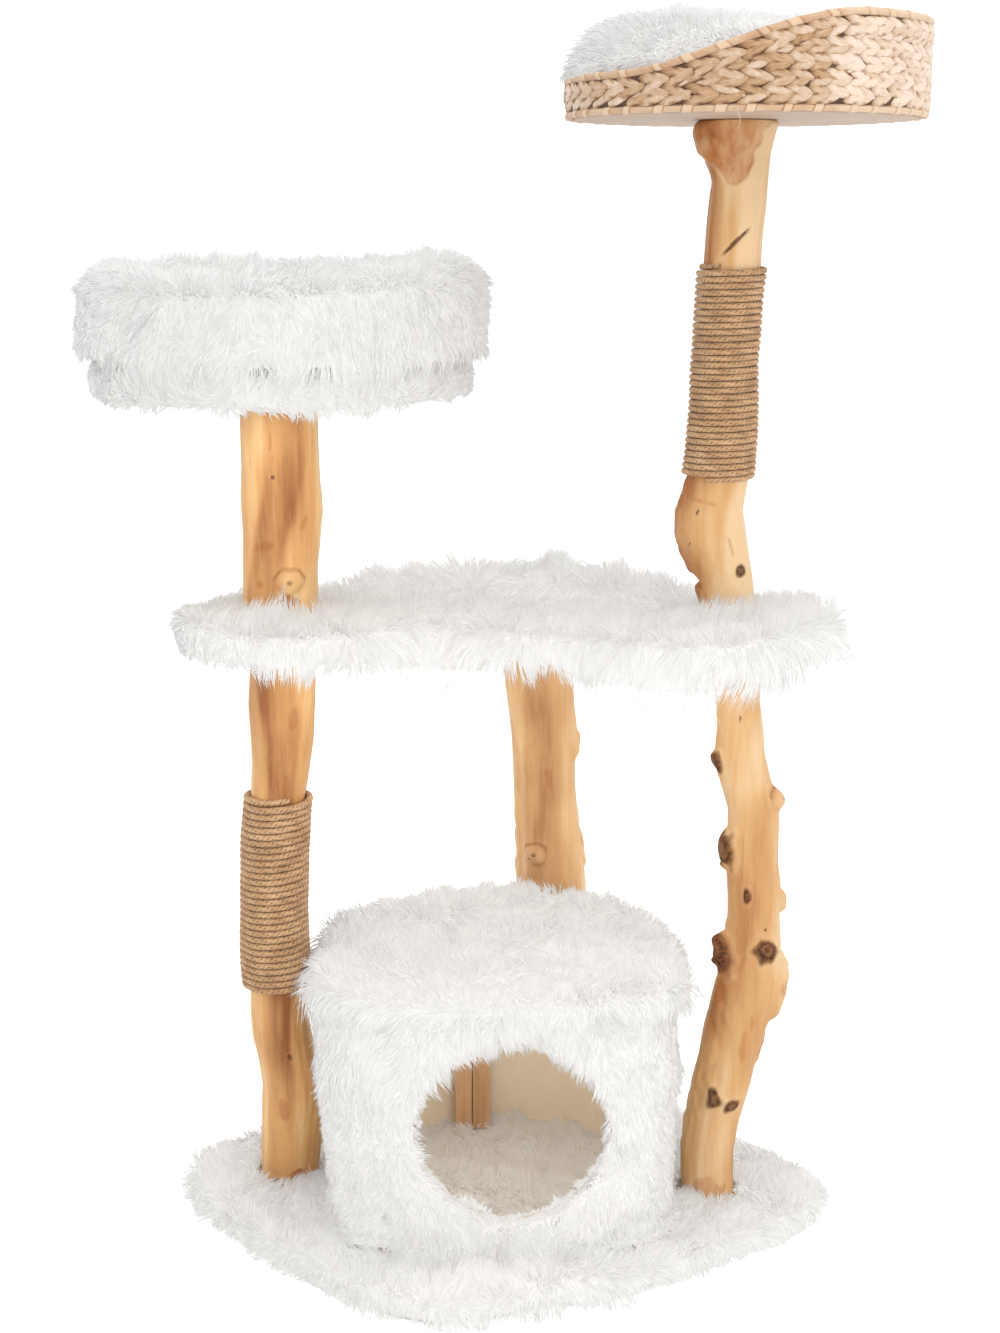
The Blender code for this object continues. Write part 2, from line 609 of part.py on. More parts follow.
def make_bed():
    lift = (*BED_CENTRE, BED_DISC_TOP)
    disc = circle(BED_CENTRE, BED_BOARD_RADIUS)
    board = prism("bed_board", disc, BED_BOARD_BOTTOM, BED_BOARD_TOP, "board", lift)
    sheet_top = BED_BOARD_BOTTOM - GAP
    underlay = prism("bed_underlay", grown(disc, -0.002), sheet_top - FABRIC, sheet_top, "fabric")
    cut(underlay, post_hole("left_upper_post", sheet_top - FABRIC, sheet_top))
    cover("bed_disc_plush", disc, BED_BOARD_BOTTOM - EDGE_DROP, BED_BOARD_TOP + GAP, BED_DISC_TOP, PLUSH)
    seat = BED_BOARD_TOP - COUNTERBORE_DEPTH
    through = (*BED_BOLT, BOLT_RADIUS + GAP, BED_BOARD_BOTTOM - 0.001, seat + 0.001)
    head_hole = (*BED_BOLT, COUNTERBORE_RADIUS, seat, BED_BOARD_TOP + 0.001)
    cut(cut(board, cylinders("bed_bolt_hole", [through])), cylinders("bed_head_hole", [head_hole]))
    bolted_joint("bed", BED_BOLT, seat, BED_BOARD_BOTTOM - GAP, -1)

    bottom = BED_DISC_TOP + GAP
    ring = loft(bolster_loops(BED_CENTRE, BOLSTER_RADIUS, BOLSTER_WIDTH, bottom, BED_TOP), ring=True)
    add_object("bed_bolster", ring, "fur", smooth=True, origin=lift)
    pad_radius = BOLSTER_RADIUS - BOLSTER_WIDTH - 0.002
    pad = [
        at_height(circle(BED_CENTRE, pad_radius - 0.006), bottom),
        at_height(circle(BED_CENTRE, pad_radius), bottom + 0.008),
        at_height(circle(BED_CENTRE, pad_radius - 0.008), bottom + 0.020),
        at_height(circle(BED_CENTRE, pad_radius * 0.6), bottom + 0.024),
    ]
    add_object("bed_floor_pad", loft(pad), "fur", smooth=True, origin=lift)


def basket_rim(angle):
    """Height of the basket wall: high on the +X side, sloping down to a low -X side."""
    away = abs(math.degrees(math.remainder(angle, 2 * math.pi)))
    t = min(max((away - 60) / 78, 0.0), 1.0)
    return BASKET_HIGH_RIM - (BASKET_HIGH_RIM - BASKET_LOW_RIM) * t * t * (3 - 2 * t)


def basket_loop(inset, height, sides=48):
    """A loop round the basket, inset from its outside. The wall has a soft corner at its seam."""
    loop = []
    for i in range(sides):
        angle = 2 * math.pi * i / sides
        from_seam = abs(math.remainder(angle - BASKET_SEAM, 2 * math.pi))
        radius = BASKET_RADIUS * (1 + 0.028 * math.exp(-from_seam / 0.22)) - inset
        x = BASKET_CENTRE[0] + radius * math.cos(angle)
        y = BASKET_CENTRE[1] + radius * math.sin(angle)
        loop.append((x, y, height(angle)))
    return loop


def basket_rod(name, height):
    """The round rod that finishes the basket's edge. height gives its centre's height at an angle."""
    loops = []
    for i in range(6):
        turn = 2 * math.pi * i / 6
        rise = BASKET_ROD * math.sin(turn)
        centre = basket_loop(BASKET_WALL / 2 - BASKET_ROD * math.cos(turn), height)
        loops.append([(x, y, z + rise) for x, y, z in centre])
    return add_object(name, loft(loops, ring=True), "hyacinth", smooth=True)


def make_basket():
    lift = (*BASKET_CENTRE, BASKET_BOARD_TOP)
    board_radius = BASKET_RADIUS - BASKET_WALL - 4 * GAP
    disc = circle(BASKET_CENTRE, board_radius)
    board = prism("basket_board", disc, BASKET_BOTTOM, BASKET_BOARD_TOP, "white_board", lift)
    through = (*BASKET_BOLT, BOLT_RADIUS + GAP, BASKET_BOTTOM - 0.001, BASKET_BOARD_TOP + 0.001)
    cut(board, cylinders("basket_bolt_hole", [through]))
    bolted_joint("basket", BASKET_BOLT, BASKET_BOARD_TOP, BASKET_BOTTOM - GAP, -1)

    rod_centre = BASKET_BOTTOM + BASKET_ROD
    wall_bottom = rod_centre + BASKET_ROD + GAP
    basket_rod("basket_bottom_rim", lambda angle: rod_centre)
    basket_rod("basket_top_rim", lambda angle: basket_rim(angle) + BASKET_ROD)
    loops = [basket_loop(inset, lambda angle: wall_bottom) for inset in (BASKET_WALL, 0.0)]
    loops += [basket_loop(inset, lambda angle: basket_rim(angle) - GAP) for inset in (0.0, BASKET_WALL)]
    add_object("basket_wall", loft(loops, ring=True), "hyacinth", smooth=True)

    bottom = BASKET_BOARD_TOP + GAP
    radius = board_radius - 0.004
    cushion = [
        at_height(circle(BASKET_CENTRE, radius - 0.010), bottom),
        at_height(circle(BASKET_CENTRE, radius), bottom + 0.012),
        at_height(circle(BASKET_CENTRE, radius), bottom + 0.034),
        at_height(circle(BASKET_CENTRE, radius - 0.012), bottom + 0.056),
        at_height(circle(BASKET_CENTRE, radius - 0.042), bottom + 0.070),
        at_height(circle(BASKET_CENTRE, radius * 0.42), bottom + 0.077),
    ]
    pad = add_object("basket_cushion", loft(cushion), "fur", smooth=True, origin=lift)
    cut(pad, cylinders("cushion_pocket", [(*BASKET_BOLT, 0.014, bottom - 0.002, bottom + 0.010)]))


def main():
    clear_scene()
    make_base()
    make_posts()
    make_deck()
    make_condo()
    make_bed()
    make_basket()


main()
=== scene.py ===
"""Looks of the cat tree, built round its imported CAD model. Metres, +Z up, and the front faces -Y."""

import json
import math

import bmesh
import bpy
import numpy as np
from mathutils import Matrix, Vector
from mathutils.bvhtree import BVHTree
from mathutils.kdtree import KDTree


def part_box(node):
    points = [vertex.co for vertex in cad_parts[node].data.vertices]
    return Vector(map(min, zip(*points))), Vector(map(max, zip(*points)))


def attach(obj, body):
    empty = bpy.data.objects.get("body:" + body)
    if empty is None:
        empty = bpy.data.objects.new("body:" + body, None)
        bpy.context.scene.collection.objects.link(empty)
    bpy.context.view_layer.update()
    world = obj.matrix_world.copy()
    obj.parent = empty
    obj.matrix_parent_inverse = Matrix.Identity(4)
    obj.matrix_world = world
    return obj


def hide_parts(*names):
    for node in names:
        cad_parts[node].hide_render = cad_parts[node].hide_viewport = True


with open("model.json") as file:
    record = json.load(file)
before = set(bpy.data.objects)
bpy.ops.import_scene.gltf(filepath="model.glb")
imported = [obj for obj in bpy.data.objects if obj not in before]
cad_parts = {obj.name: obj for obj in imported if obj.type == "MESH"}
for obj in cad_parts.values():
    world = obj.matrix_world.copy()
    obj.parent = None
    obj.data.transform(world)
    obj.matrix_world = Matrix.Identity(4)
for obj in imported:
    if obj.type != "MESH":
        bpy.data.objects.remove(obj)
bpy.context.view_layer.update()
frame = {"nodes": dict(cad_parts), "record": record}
NODES = frame["nodes"]

MM = 0.001
POSTS = ("left_lower_post", "left_upper_post", "centre_post", "right_lower_post", "right_upper_post")
FLOOR_CLEARANCE = 1.5 * MM  # lowest point of any hair
ENTRANCE = np.array([0.012, 0.168])  # X and Z of the middle of the condo's entrance


# ---------------------------------------------------------------- meshes


def points_of(mesh):
    values = np.empty(len(mesh.vertices) * 3, np.float32)
    mesh.vertices.foreach_get("co", values)
    return values.reshape(-1, 3).astype(float)


def normals_of(mesh):
    values = np.empty(len(mesh.vertices) * 3, np.float32)
    mesh.vertex_normals.foreach_get("vector", values)
    return values.reshape(-1, 3).astype(float)


def triangles_of(mesh):
    mesh.calc_loop_triangles()
    values = np.empty(len(mesh.loop_triangles) * 3, np.int32)
    mesh.loop_triangles.foreach_get("vertices", values)
    return values.reshape(-1, 3)


def add_mesh(name, points, faces, finish, values=None, smooth=True):
    """A mesh object. faces is a list of arrays, each of faces with the same number of corners.
    values gives each vertex attribute by name."""
    mesh = bpy.data.meshes.new(name)
    mesh.vertices.add(len(points))
    mesh.vertices.foreach_set("co", np.ascontiguousarray(points, np.float32).ravel())
    corners = np.concatenate([np.ascontiguousarray(f, np.int32).ravel() for f in faces])
    sizes = np.concatenate([np.full(len(f), f.shape[1]) for f in faces])
    mesh.loops.add(len(corners))
    mesh.loops.foreach_set("vertex_index", corners)
    mesh.polygons.add(len(sizes))
    mesh.polygons.foreach_set("loop_start", (np.cumsum(sizes) - sizes).astype(np.int32))
    mesh.update(calc_edges=True)
    if smooth:
        mesh.shade_smooth()
    for key, value in (values or {}).items():
        set_values(mesh, key, value)
    mesh.materials.append(finish)
    obj = bpy.data.objects.new(name, mesh)
    bpy.context.scene.collection.objects.link(obj)
    return obj


def set_values(mesh, key, value):
    value = np.ascontiguousarray(value, np.float32)
    if value.ndim == 2:
        mesh.attributes.new(key, "FLOAT_VECTOR", "POINT").data.foreach_set("vector", value.ravel())
    else:
        mesh.attributes.new(key, "FLOAT", "POINT").data.foreach_set("value", value)


def copy_of(node, name):
    """A new object with a CAD node's shape, its split vertices merged."""
    mesh = bpy.data.meshes.new(name)
    bm = bmesh.new()
    bm.from_mesh(NODES[node].data)
    bmesh.ops.remove_doubles(bm, verts=bm.verts, dist=0.02 * MM)
    bm.to_mesh(mesh)
    bm.free()
    obj = bpy.data.objects.new(name, mesh)
    bpy.context.scene.collection.objects.link(obj)
    return obj


def settle(obj):
    """Applies the object's modifiers."""
    graph = bpy.context.evaluated_depsgraph_get()
    mesh = bpy.data.meshes.new_from_object(obj.evaluated_get(graph))
    obj.modifiers.clear()
    obj.data = mesh
    return mesh


def remeshed(node, name, voxel, smoothing, axes="XYZ"):
    """A copy of a CAD node as an even grid of small faces, smoothed."""
    obj = copy_of(node, name)
    grid = obj.modifiers.new("grid", "REMESH")
    grid.mode = "VOXEL"
    grid.voxel_size = voxel
    grid.use_smooth_shade = True
    soften = obj.modifiers.new("soften", "SMOOTH")
    soften.iterations = smoothing
    soften.factor = 0.5
    soften.use_x, soften.use_y, soften.use_z = ("X" in axes, "Y" in axes, "Z" in axes)
    settle(obj)
    return obj


def move_points(obj, points):
    obj.data.vertices.foreach_set("co", np.ascontiguousarray(points, np.float32).ravel())
    obj.data.update()


def tree_of(*nodes):
    """A search tree of several CAD nodes' surfaces."""
    points, faces, start = [], [], 0
    for node in nodes:
        mesh = NODES[node].data
        points.append(points_of(mesh))
        faces.append(triangles_of(mesh) + start)
        start += len(mesh.vertices)
    return BVHTree.FromPolygons(np.concatenate(points).tolist(), np.concatenate(faces).tolist())


def distances(points, tree, most=0.1):
    found = [tree.find_nearest(p, most)[3] for p in points.tolist()]
    return np.array([most if d is None else d for d in found])


def waves(points, size, seed, count=12):
    """Smooth noise, mostly within -1 to 1, whose bumps are about size across."""
    draw = np.random.default_rng(seed)
    direction = draw.normal(size=(count, 3))
    direction /= np.linalg.norm(direction, axis=1)[:, None]
    direction *= (2 * math.pi / size * draw.uniform(0.35, 1.1, count))[:, None]
    phase = draw.uniform(0, 2 * math.pi, count)
    return np.sin(points @ direction.T + phase).sum(1) / math.sqrt(count)


def smoothstep(low, high, value):
    t = np.clip((value - low) / (high - low), 0, 1)
    return t * t * (3 - 2 * t)


def fade(low, high, value):
    return 1 - smoothstep(low, high, value)


def hump(value, centre, width):
    return np.exp(-((value - centre) / width) ** 2)


def turned(angle, start):
    """Angles counted from start, within half a turn of it."""
    return np.angle(np.exp(1j * (angle - start)))


def circle(count):
    """Directions spaced evenly round a full turn."""
    return np.linspace(0, 2 * math.pi, count, endpoint=False)


def unit(vectors):
    return vectors / np.maximum(np.linalg.norm(vectors, axis=1), 1e-9)[:, None]


def middle_of(node):
    """The middle of a CAD node's box."""
    return np.array([(a + b) / 2 for a, b in zip(*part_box(node))])


def coat(obj, finish):
    obj.data.materials.clear()
    obj.data.materials.append(finish)


def show(obj, node, body="root"):
    """The object takes a CAD node's place on its body."""
    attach(obj, body)
    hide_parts(node)


def wrap_faces(index):
    """Quads between rings of points, of which each ring is one row of index."""
    one, two = index[:-1], index[1:]
    return np.stack([one, np.roll(one, -1, 1), np.roll(two, -1, 1), two], -1).reshape(-1, 4)


def tube(path, section, up, closed=False):
    """Points and faces of a tube along a path. section holds, for each path point, the offsets of its ring
    to the side and towards up."""
    if closed:
        tangent = unit(np.roll(path, -1, 0) - np.roll(path, 1, 0))
    else:
        tangent = unit(np.gradient(path, axis=0))
    side = unit(np.cross(tangent, up))
    rise = np.cross(side, tangent)
    points = path[:, None] + section[..., :1] * side[:, None] + section[..., 1:] * rise[:, None]
    count, sides = points.shape[:2]
    index = np.arange(count * sides).reshape(count, sides)
    if closed:
        index = np.concatenate([index, index[:1]])
    a, b = index[:-1], index[1:]
    quads = np.stack([a, b, np.roll(b, -1, 1), np.roll(a, -1, 1)], -1).reshape(-1, 4)
    faces = [quads]
    if not closed:
        faces.append(np.stack([index[0], index[-1][::-1]]))
    return points.reshape(-1, 3), faces


# ---------------------------------------------------------------- materials


class Finish:
    """A procedural material, built up node by node."""

    def __init__(self, name, roughness=0.8, metallic=0.0, sheen=0.0, specular=0.5):
        self.material = bpy.data.materials.new(name)
        self.material.use_nodes = True
        self.tree = self.material.node_tree
        self.shader = self.tree.nodes["Principled BSDF"]
        self.shader.inputs["Roughness"].default_value = roughness
        self.shader.inputs["Metallic"].default_value = metallic
        self.shader.inputs["Sheen Weight"].default_value = sheen
        self.shader.inputs["Specular IOR Level"].default_value = specular

    def feed(self, socket, value):
        """Links a socket to another one, or sets its value."""
        if isinstance(value, bpy.types.NodeSocket):
            self.tree.links.new(value, socket)
        else:
            socket.default_value = value

    def add(self, kind, inputs=None, **settings):
        node = self.tree.nodes.new("ShaderNode" + kind)
        for name, value in settings.items():
            setattr(node, name, value)
        for name, value in (inputs or {}).items():
            self.feed(node.inputs[name], value)
        return node

    def scaled(self, vector, scale):
        return self.add("Mapping", {"Vector": vector, "Scale": scale}).outputs["Vector"]

    def place(self, scale=(1, 1, 1)):
        return self.scaled(self.add("TexCoord").outputs["Object"], scale)

    def value(self, name, output="Fac"):
        return self.add("Attribute", attribute_name=name).outputs[output]

    def noise(self, vector, scale, detail=4.0, roughness=0.55):
        inputs = {"Vector": vector, "Scale": scale, "Detail": detail, "Roughness": roughness}
        return self.add("TexNoise", inputs).outputs["Fac"]

    def ramp(self, value, stops):
        """Colours, or greys given as one number, along a value."""
        node = self.add("ValToRGB", {"Fac": value})
        elements = node.color_ramp.elements
        while len(elements) < len(stops):
            elements.new(0.5)
        for element, (position, colour) in zip(elements, stops):
            element.position = position
            grey = isinstance(colour, (int, float))
            element.color = (colour, colour, colour, 1) if grey else (*colour, 1)
        return node.outputs["Color"]

    def mix(self, factor, first, second):
        node = self.add("Mix", data_type="RGBA")
        for number, value in ((0, factor), (6, first), (7, second)):
            self.feed(node.inputs[number], (*value, 1) if isinstance(value, tuple) else value)
        return node.outputs[2]

    def math(self, operation, first, second=0.0, third=0.0):
        node = self.add("Math", operation=operation)
        for socket, value in zip(node.inputs, (first, second, third)):
            self.feed(socket, value)
        return node.outputs[0]

    def bump(self, height, strength, distance, normal=None):
        inputs = {"Height": height, "Strength": strength, "Distance": distance}
        if normal is not None:
            inputs["Normal"] = normal
        return self.add("Bump", inputs).outputs["Normal"]

    def use(self, name, socket):
        self.tree.links.new(socket, self.shader.inputs[name])


def srgb(red, green, blue):
    """A linear colour from sRGB numbers up to 255."""
    return tuple(c / 12.92 if c <= 0.04045 else ((c + 0.055) / 1.055) ** 2.4
                 for c in (red / 255, green / 255, blue / 255))


def fur_finish(name, root, tip):
    """Long white pile. "tint" runs from 0 at a hair's root to 1 at its tip, and a lower tint gives a darker
    colour: painted shade towards the roots and on ridges.
    """
    f = Finish(name, roughness=0.9, specular=0.1)
    f.shader.inputs["Subsurface Weight"].default_value = 0.5
    f.shader.inputs["Subsurface Radius"].default_value = (1.0, 1.0, 1.0)
    f.shader.inputs["Subsurface Scale"].default_value = 4 * MM
    patch = f.noise(f.place(), 26, 2)
    tint = f.math("MULTIPLY_ADD", patch, 0.5, f.math("SUBTRACT", f.value("tint"), 0.25))
    # foot is painted shade, darker than the root colour, and is reached at hair roots and on ridges.
    foot = tuple(0.87 * a for a in root)
    upper = tuple((a + 3 * b) / 4 for a, b in zip(root, tip))
    f.use("Base Color", f.ramp(tint, [(0.0, foot), (0.12, root), (0.45, upper), (1.0, tip)]))
    f.use("Normal", f.bump(f.noise(f.place(), 900, 3), 0.4, 0.4 * MM))
    return f.material


def wood_finish(name, pale, honey, dark):
    """Peeled branch wood with soft blotches and long grain. "dark", "light", "scar" and "band" mark its
    knots, scars and heartwood, and on the right posts "band" also holds painted shade and a painted
    highlight."""
    f = Finish(name, roughness=0.5, specular=0.3)
    warp = f.noise(f.place((1, 1, 0.5)), 11, 2)
    broad = f.noise(f.place((1, 1, 0.17)), 20, 3)
    streaks = f.noise(f.place((1, 1, 0.055)), 120, 5, 0.65)
    fine = f.noise(f.place((1, 1, 0.03)), 620, 3)
    tone = f.math("MULTIPLY_ADD", broad, 0.55, f.math("MULTIPLY_ADD", streaks, 0.20, -0.01))
    tone = f.math("MULTIPLY_ADD", warp, 0.5, tone)
    # band darkens the wood: heartwood on the left and centre posts, and painted shade with a painted
    # highlight on the right posts.
    tone = f.math("MULTIPLY_ADD", f.value("band"), -0.15, tone)
    tone = f.math("MULTIPLY_ADD", fine, 0.08, f.math("ADD", tone, -0.04))
    brown = tuple((a + 2 * b) / 3 for a, b in zip(dark, honey))
    colour = f.ramp(tone, [(0.38, dark), (0.50, brown), (0.60, honey), (0.74, pale)])
    crack = f.ramp(f.noise(f.place((1, 1, 0.03)), 60, 2), [(0.70, 0.0), (0.72, 1.0)])
    colour = f.mix(f.math("MULTIPLY", crack, 0.35), colour, dark)
    pores = f.ramp(f.noise(f.place((1, 1, 0.25)), 420, 2), [(0.68, 0.0), (0.74, 1.0)])
    colour = f.mix(f.math("MULTIPLY", pores, 0.25), colour, dark)
    mottle = f.noise(f.place(), 260, 3)
    rust = tuple(a * b for a, b in zip(dark, (1.15, 1.0, 0.75)))
    rings = f.ramp(f.noise(f.place((1, 1, 0.4)), 150, 2), [(0.35, 0.65), (0.6, 0.95)])
    colour = f.mix(f.math("MULTIPLY", f.value("scar"), rings), colour, rust)
    colour = f.mix(f.math("MULTIPLY", f.value("light"), 0.55), colour, pale)
    bark = f.ramp(mottle, [(0.38, srgb(46, 23, 11)), (0.70, srgb(112, 66, 37))])
    colour = f.mix(f.value("dark"), colour, bark)
    f.use("Base Color", colour)
    rough = f.ramp(streaks, [(0.3, 0.6), (0.7, 0.45)])
    f.use("Roughness", f.mix(f.value("dark"), rough, (1.0, 1.0, 1.0)))
    relief = f.math("MULTIPLY_ADD", fine, 0.4, f.math("MULTIPLY_ADD", crack, -0.8, streaks))
    relief = f.math("MULTIPLY_ADD", f.math("MULTIPLY", f.value("dark"), mottle), 2.5, relief)
    f.use("Normal", f.bump(relief, 0.3, 0.5 * MM))
    return f.material


def rope_finish():
    f = Finish("jute_rope_finish", roughness=0.95, sheen=0.15, specular=0.15)
    grain = f.value("grain", "Vector")
    fibres = f.noise(f.scaled(grain, (0.16, 1, 1)), 5, 4, 0.7)
    patch = f.noise(f.place(), 60, 2)
    tone = f.math("MULTIPLY_ADD", patch, 0.45, f.math("MULTIPLY_ADD", fibres, 0.75, -0.10))
    colour = f.ramp(tone, [(0.25, srgb(121, 86, 58)), (0.5, srgb(180, 142, 103)),
                           (0.78, srgb(218, 186, 147))])
    # Painted shade: darker brown in the grooves between the strands.
    f.use("Base Color", f.mix(f.value("groove"), colour, srgb(84, 58, 38)))
    f.use("Normal", f.bump(fibres, 0.9, 0.5 * MM))
    return f.material


def straw_finish(name, pale, mid, dark):
    """Dried plant fibre with lengthwise grooves. "grain" holds a strip's own coordinates, and "tone" its
    shade."""
    f = Finish(name, roughness=0.55, sheen=0.1, specular=0.4)
    grain = f.value("grain", "Vector")
    lines = f.noise(f.scaled(grain, (0.07, 1.15, 1)), 1.0, 4, 0.6)
    blotch = f.noise(f.scaled(grain, (0.2, 0.3, 1)), 1.0, 2)
    tone = f.math("MULTIPLY_ADD", lines, 0.5, f.math("MULTIPLY_ADD", blotch, 0.3, f.value("tone")))
    colour = f.ramp(tone, [(0.35, dark), (0.62, mid), (1.0, pale)])
    f.use("Base Color", colour)
    f.use("Roughness", f.ramp(lines, [(0.3, 0.7), (0.7, 0.45)]))
    f.use("Normal", f.bump(lines, 0.7, 0.6 * MM))
    return f.material


def cloth_finish(name, colour, thread, roughness=0.9):
    """Plain cloth of crossed threads, with faint creases."""
    f = Finish(name, roughness=roughness, sheen=0.2, specular=0.25)
    threads = []
    for scale, direction in (((1, 1, 0.001), "DIAGONAL"), ((1, 1, 1), "Z")):
        inputs = {"Vector": f.place(scale), "Scale": 1 / thread, "Distortion": 1.5}
        threads.append(f.add("TexWave", inputs, bands_direction=direction).outputs["Fac"])
    weave = f.math("MULTIPLY", *threads)
    creases = f.noise(f.place(), 9, 3)
    dim = tuple(0.86 * c for c in colour)
    # The colour follows the threads' pattern, and it is darker where the creases dip: painted shade in the
    # creases.
    shade = f.math("MULTIPLY_ADD", weave, 0.35, f.math("MULTIPLY", creases, 0.8))
    f.use("Base Color", f.ramp(shade, [(0.25, dim), (0.75, colour)]))
    folds = f.bump(creases, 0.25, 6 * MM)
    f.use("Normal", f.bump(weave, 0.5, 0.4 * MM, folds))
    return f.material


def board_finish(name, pale, dark, speck):
    """Raw fibreboard or chipboard, mottled and slightly rough."""
    f = Finish(name, roughness=0.85, specular=0.3)
    chips = f.noise(f.place(), speck, 5, 0.7)
    cloud = f.noise(f.place(), 14, 2)
    tone = f.math("MULTIPLY_ADD", cloud, 0.4, f.math("MULTIPLY", chips, 0.6))
    f.use("Base Color", f.ramp(tone, [(0.36, dark), (0.62, pale)]))
    f.use("Normal", f.bump(chips, 0.3, 0.3 * MM))
    return f.material


def painted_finish():
    f = Finish("white_board_finish", roughness=0.55, specular=0.4)
    cloud = f.noise(f.place(), 18, 3)
    grit = f.noise(f.place(), 700, 2)
    f.use("Base Color", f.ramp(cloud, [(0.3, srgb(159, 136, 118)), (0.65, srgb(167, 146, 127))]))
    f.use("Roughness", f.ramp(grit, [(0.3, 0.5), (0.7, 0.65)]))
    f.use("Normal", f.bump(grit, 0.15, 0.2 * MM))
    return f.material


def sawn_finish():
    f = Finish("batten_finish", roughness=0.75, specular=0.3)
    grain = f.noise(f.place((1, 1, 0.03)), 260, 5, 0.65)
    broad = f.noise(f.place((1, 1, 0.12)), 40, 2)
    tone = f.math("MULTIPLY_ADD", broad, 0.5, f.math("MULTIPLY", grain, 0.5))
    f.use("Base Color", f.ramp(tone, [(0.32, srgb(165, 128, 92)), (0.5, srgb(192, 155, 117)),
                                      (0.68, srgb(212, 178, 140))]))
    f.use("Normal", f.bump(grain, 0.4, 0.4 * MM))
    return f.material


def metal_finish(name, colour, shine):
    f = Finish(name, roughness=shine, metallic=1.0)
    turned = f.noise(f.place((1, 1, 30)), 60, 3)
    cloud = f.noise(f.place(), 90, 2)
    dim = tuple(0.8 * c for c in colour)
    f.use("Base Color", f.ramp(cloud, [(0.3, dim), (0.7, colour)]))
    f.use("Roughness", f.ramp(turned, [(0.3, shine), (0.7, shine + 0.15)]))
    f.use("Normal", f.bump(turned, 0.2, 0.1 * MM))
    return f.material


FUR = fur_finish("fur_finish", (0.64, 0.63, 0.615), (0.76, 0.75, 0.735))
CUSHION_FUR = fur_finish("cushion_fur_finish", (0.615, 0.607, 0.595), (0.735, 0.725, 0.715))
# Painted shade: the bed's fur is the same white fur, given a darker colour because the bed sits high and gets
# more light.
HIGH_FUR_PAINTED_SHADE = fur_finish("high_fur_painted_shade_finish", (0.57, 0.562, 0.55), (0.672, 0.662, 0.647))
LEFT_WOOD = wood_finish("left_wood_finish", srgb(203, 167, 117), srgb(184, 137, 85), srgb(129, 75, 35))
CENTRE_WOOD = wood_finish("centre_wood_finish", srgb(208, 172, 126), srgb(191, 148, 100), srgb(137, 85, 46))
RIGHT_WOOD = wood_finish("right_wood_finish", srgb(198, 168, 129), srgb(185, 143, 94), srgb(145, 89, 43))
ROPE = rope_finish()
STRAW = straw_finish("straw_finish", srgb(202, 183, 166), srgb(162, 128, 92), srgb(108, 70, 42))
# Painted shade: the dark colours of the wall's core stand for the shade inside the weave, seen through the
# gaps between leaves.
STRAW_SHADE = straw_finish("straw_core_painted_shade_finish", srgb(120, 84, 56), srgb(84, 56, 36), srgb(46, 30, 20))
ROD_STRAW = straw_finish("rod_straw_finish", srgb(196, 170, 142), srgb(165, 122, 86), srgb(122, 80, 50))
LINING = cloth_finish("lining_finish", srgb(225, 213, 191), 0.0016)
UNDERSIDE = cloth_finish("underside_finish", srgb(234, 228, 216), 0.0022)
BOARD = board_finish("board_finish", srgb(206, 176, 138), srgb(160, 124, 88), 420)
WHITE_BOARD = painted_finish()
BATTEN = sawn_finish()
STEEL = metal_finish("steel_finish", (0.62, 0.63, 0.66), 0.3)
BRASS = metal_finish("brass_finish", (0.78, 0.6, 0.3), 0.3)


# ---------------------------------------------------------------- camera, floor and lights


def add_camera():
    data = bpy.data.cameras.new("camera")
    data.lens = 50
    data.sensor_width = 36
    data.clip_end = 50
    obj = bpy.data.objects.new("camera", data)
    obj.location = (0, -1.840, 1.070)
    obj.rotation_euler = (math.radians(90 - 14), 0, 0)
    bpy.context.scene.collection.objects.link(obj)
    bpy.context.scene.camera = obj


def add_light(name, place, target, size, power, colour):
    """A rectangular light, or a sun when size is one angle in degrees."""
    if isinstance(size, tuple):
        data = bpy.data.lights.new(name, "AREA")
        data.shape = "RECTANGLE"
        data.size, data.size_y = size
    else:
        data = bpy.data.lights.new(name, "SUN")
        data.angle = math.radians(size)
    data.energy = power
    data.color = colour
    obj = bpy.data.objects.new(name, data)
    obj.location = place
    obj.rotation_euler = (Vector(target) - Vector(place)).to_track_quat("-Z", "Y").to_euler()
    bpy.context.scene.collection.objects.link(obj)


def add_sweep():
    """A pale floor that curves up into a backdrop."""
    radius, back, wall, half = 1.2, 3.6, 5.0, 7.0
    line = [(-6.0, 0.0), (back - radius, 0.0)]
    for i in range(1, 13):
        angle = math.pi / 2 * i / 12
        line.append((back - radius + radius * math.sin(angle), radius - radius * math.cos(angle)))
    line.append((back, wall))
    points = [(x, y, z) for y, z in line for x in (-half, half)]
    faces = [(2 * i, 2 * i + 1, 2 * i + 3, 2 * i + 2) for i in range(len(line) - 1)]
    f = Finish("floor_finish", roughness=0.9, specular=0.1)
    f.use("Base Color", f.ramp(f.noise(f.place(), 1.5, 2), [(0.3, 0.90), (0.7, 0.92)]))
    add_mesh("floor", np.array(points), [np.array(faces)], f.material)


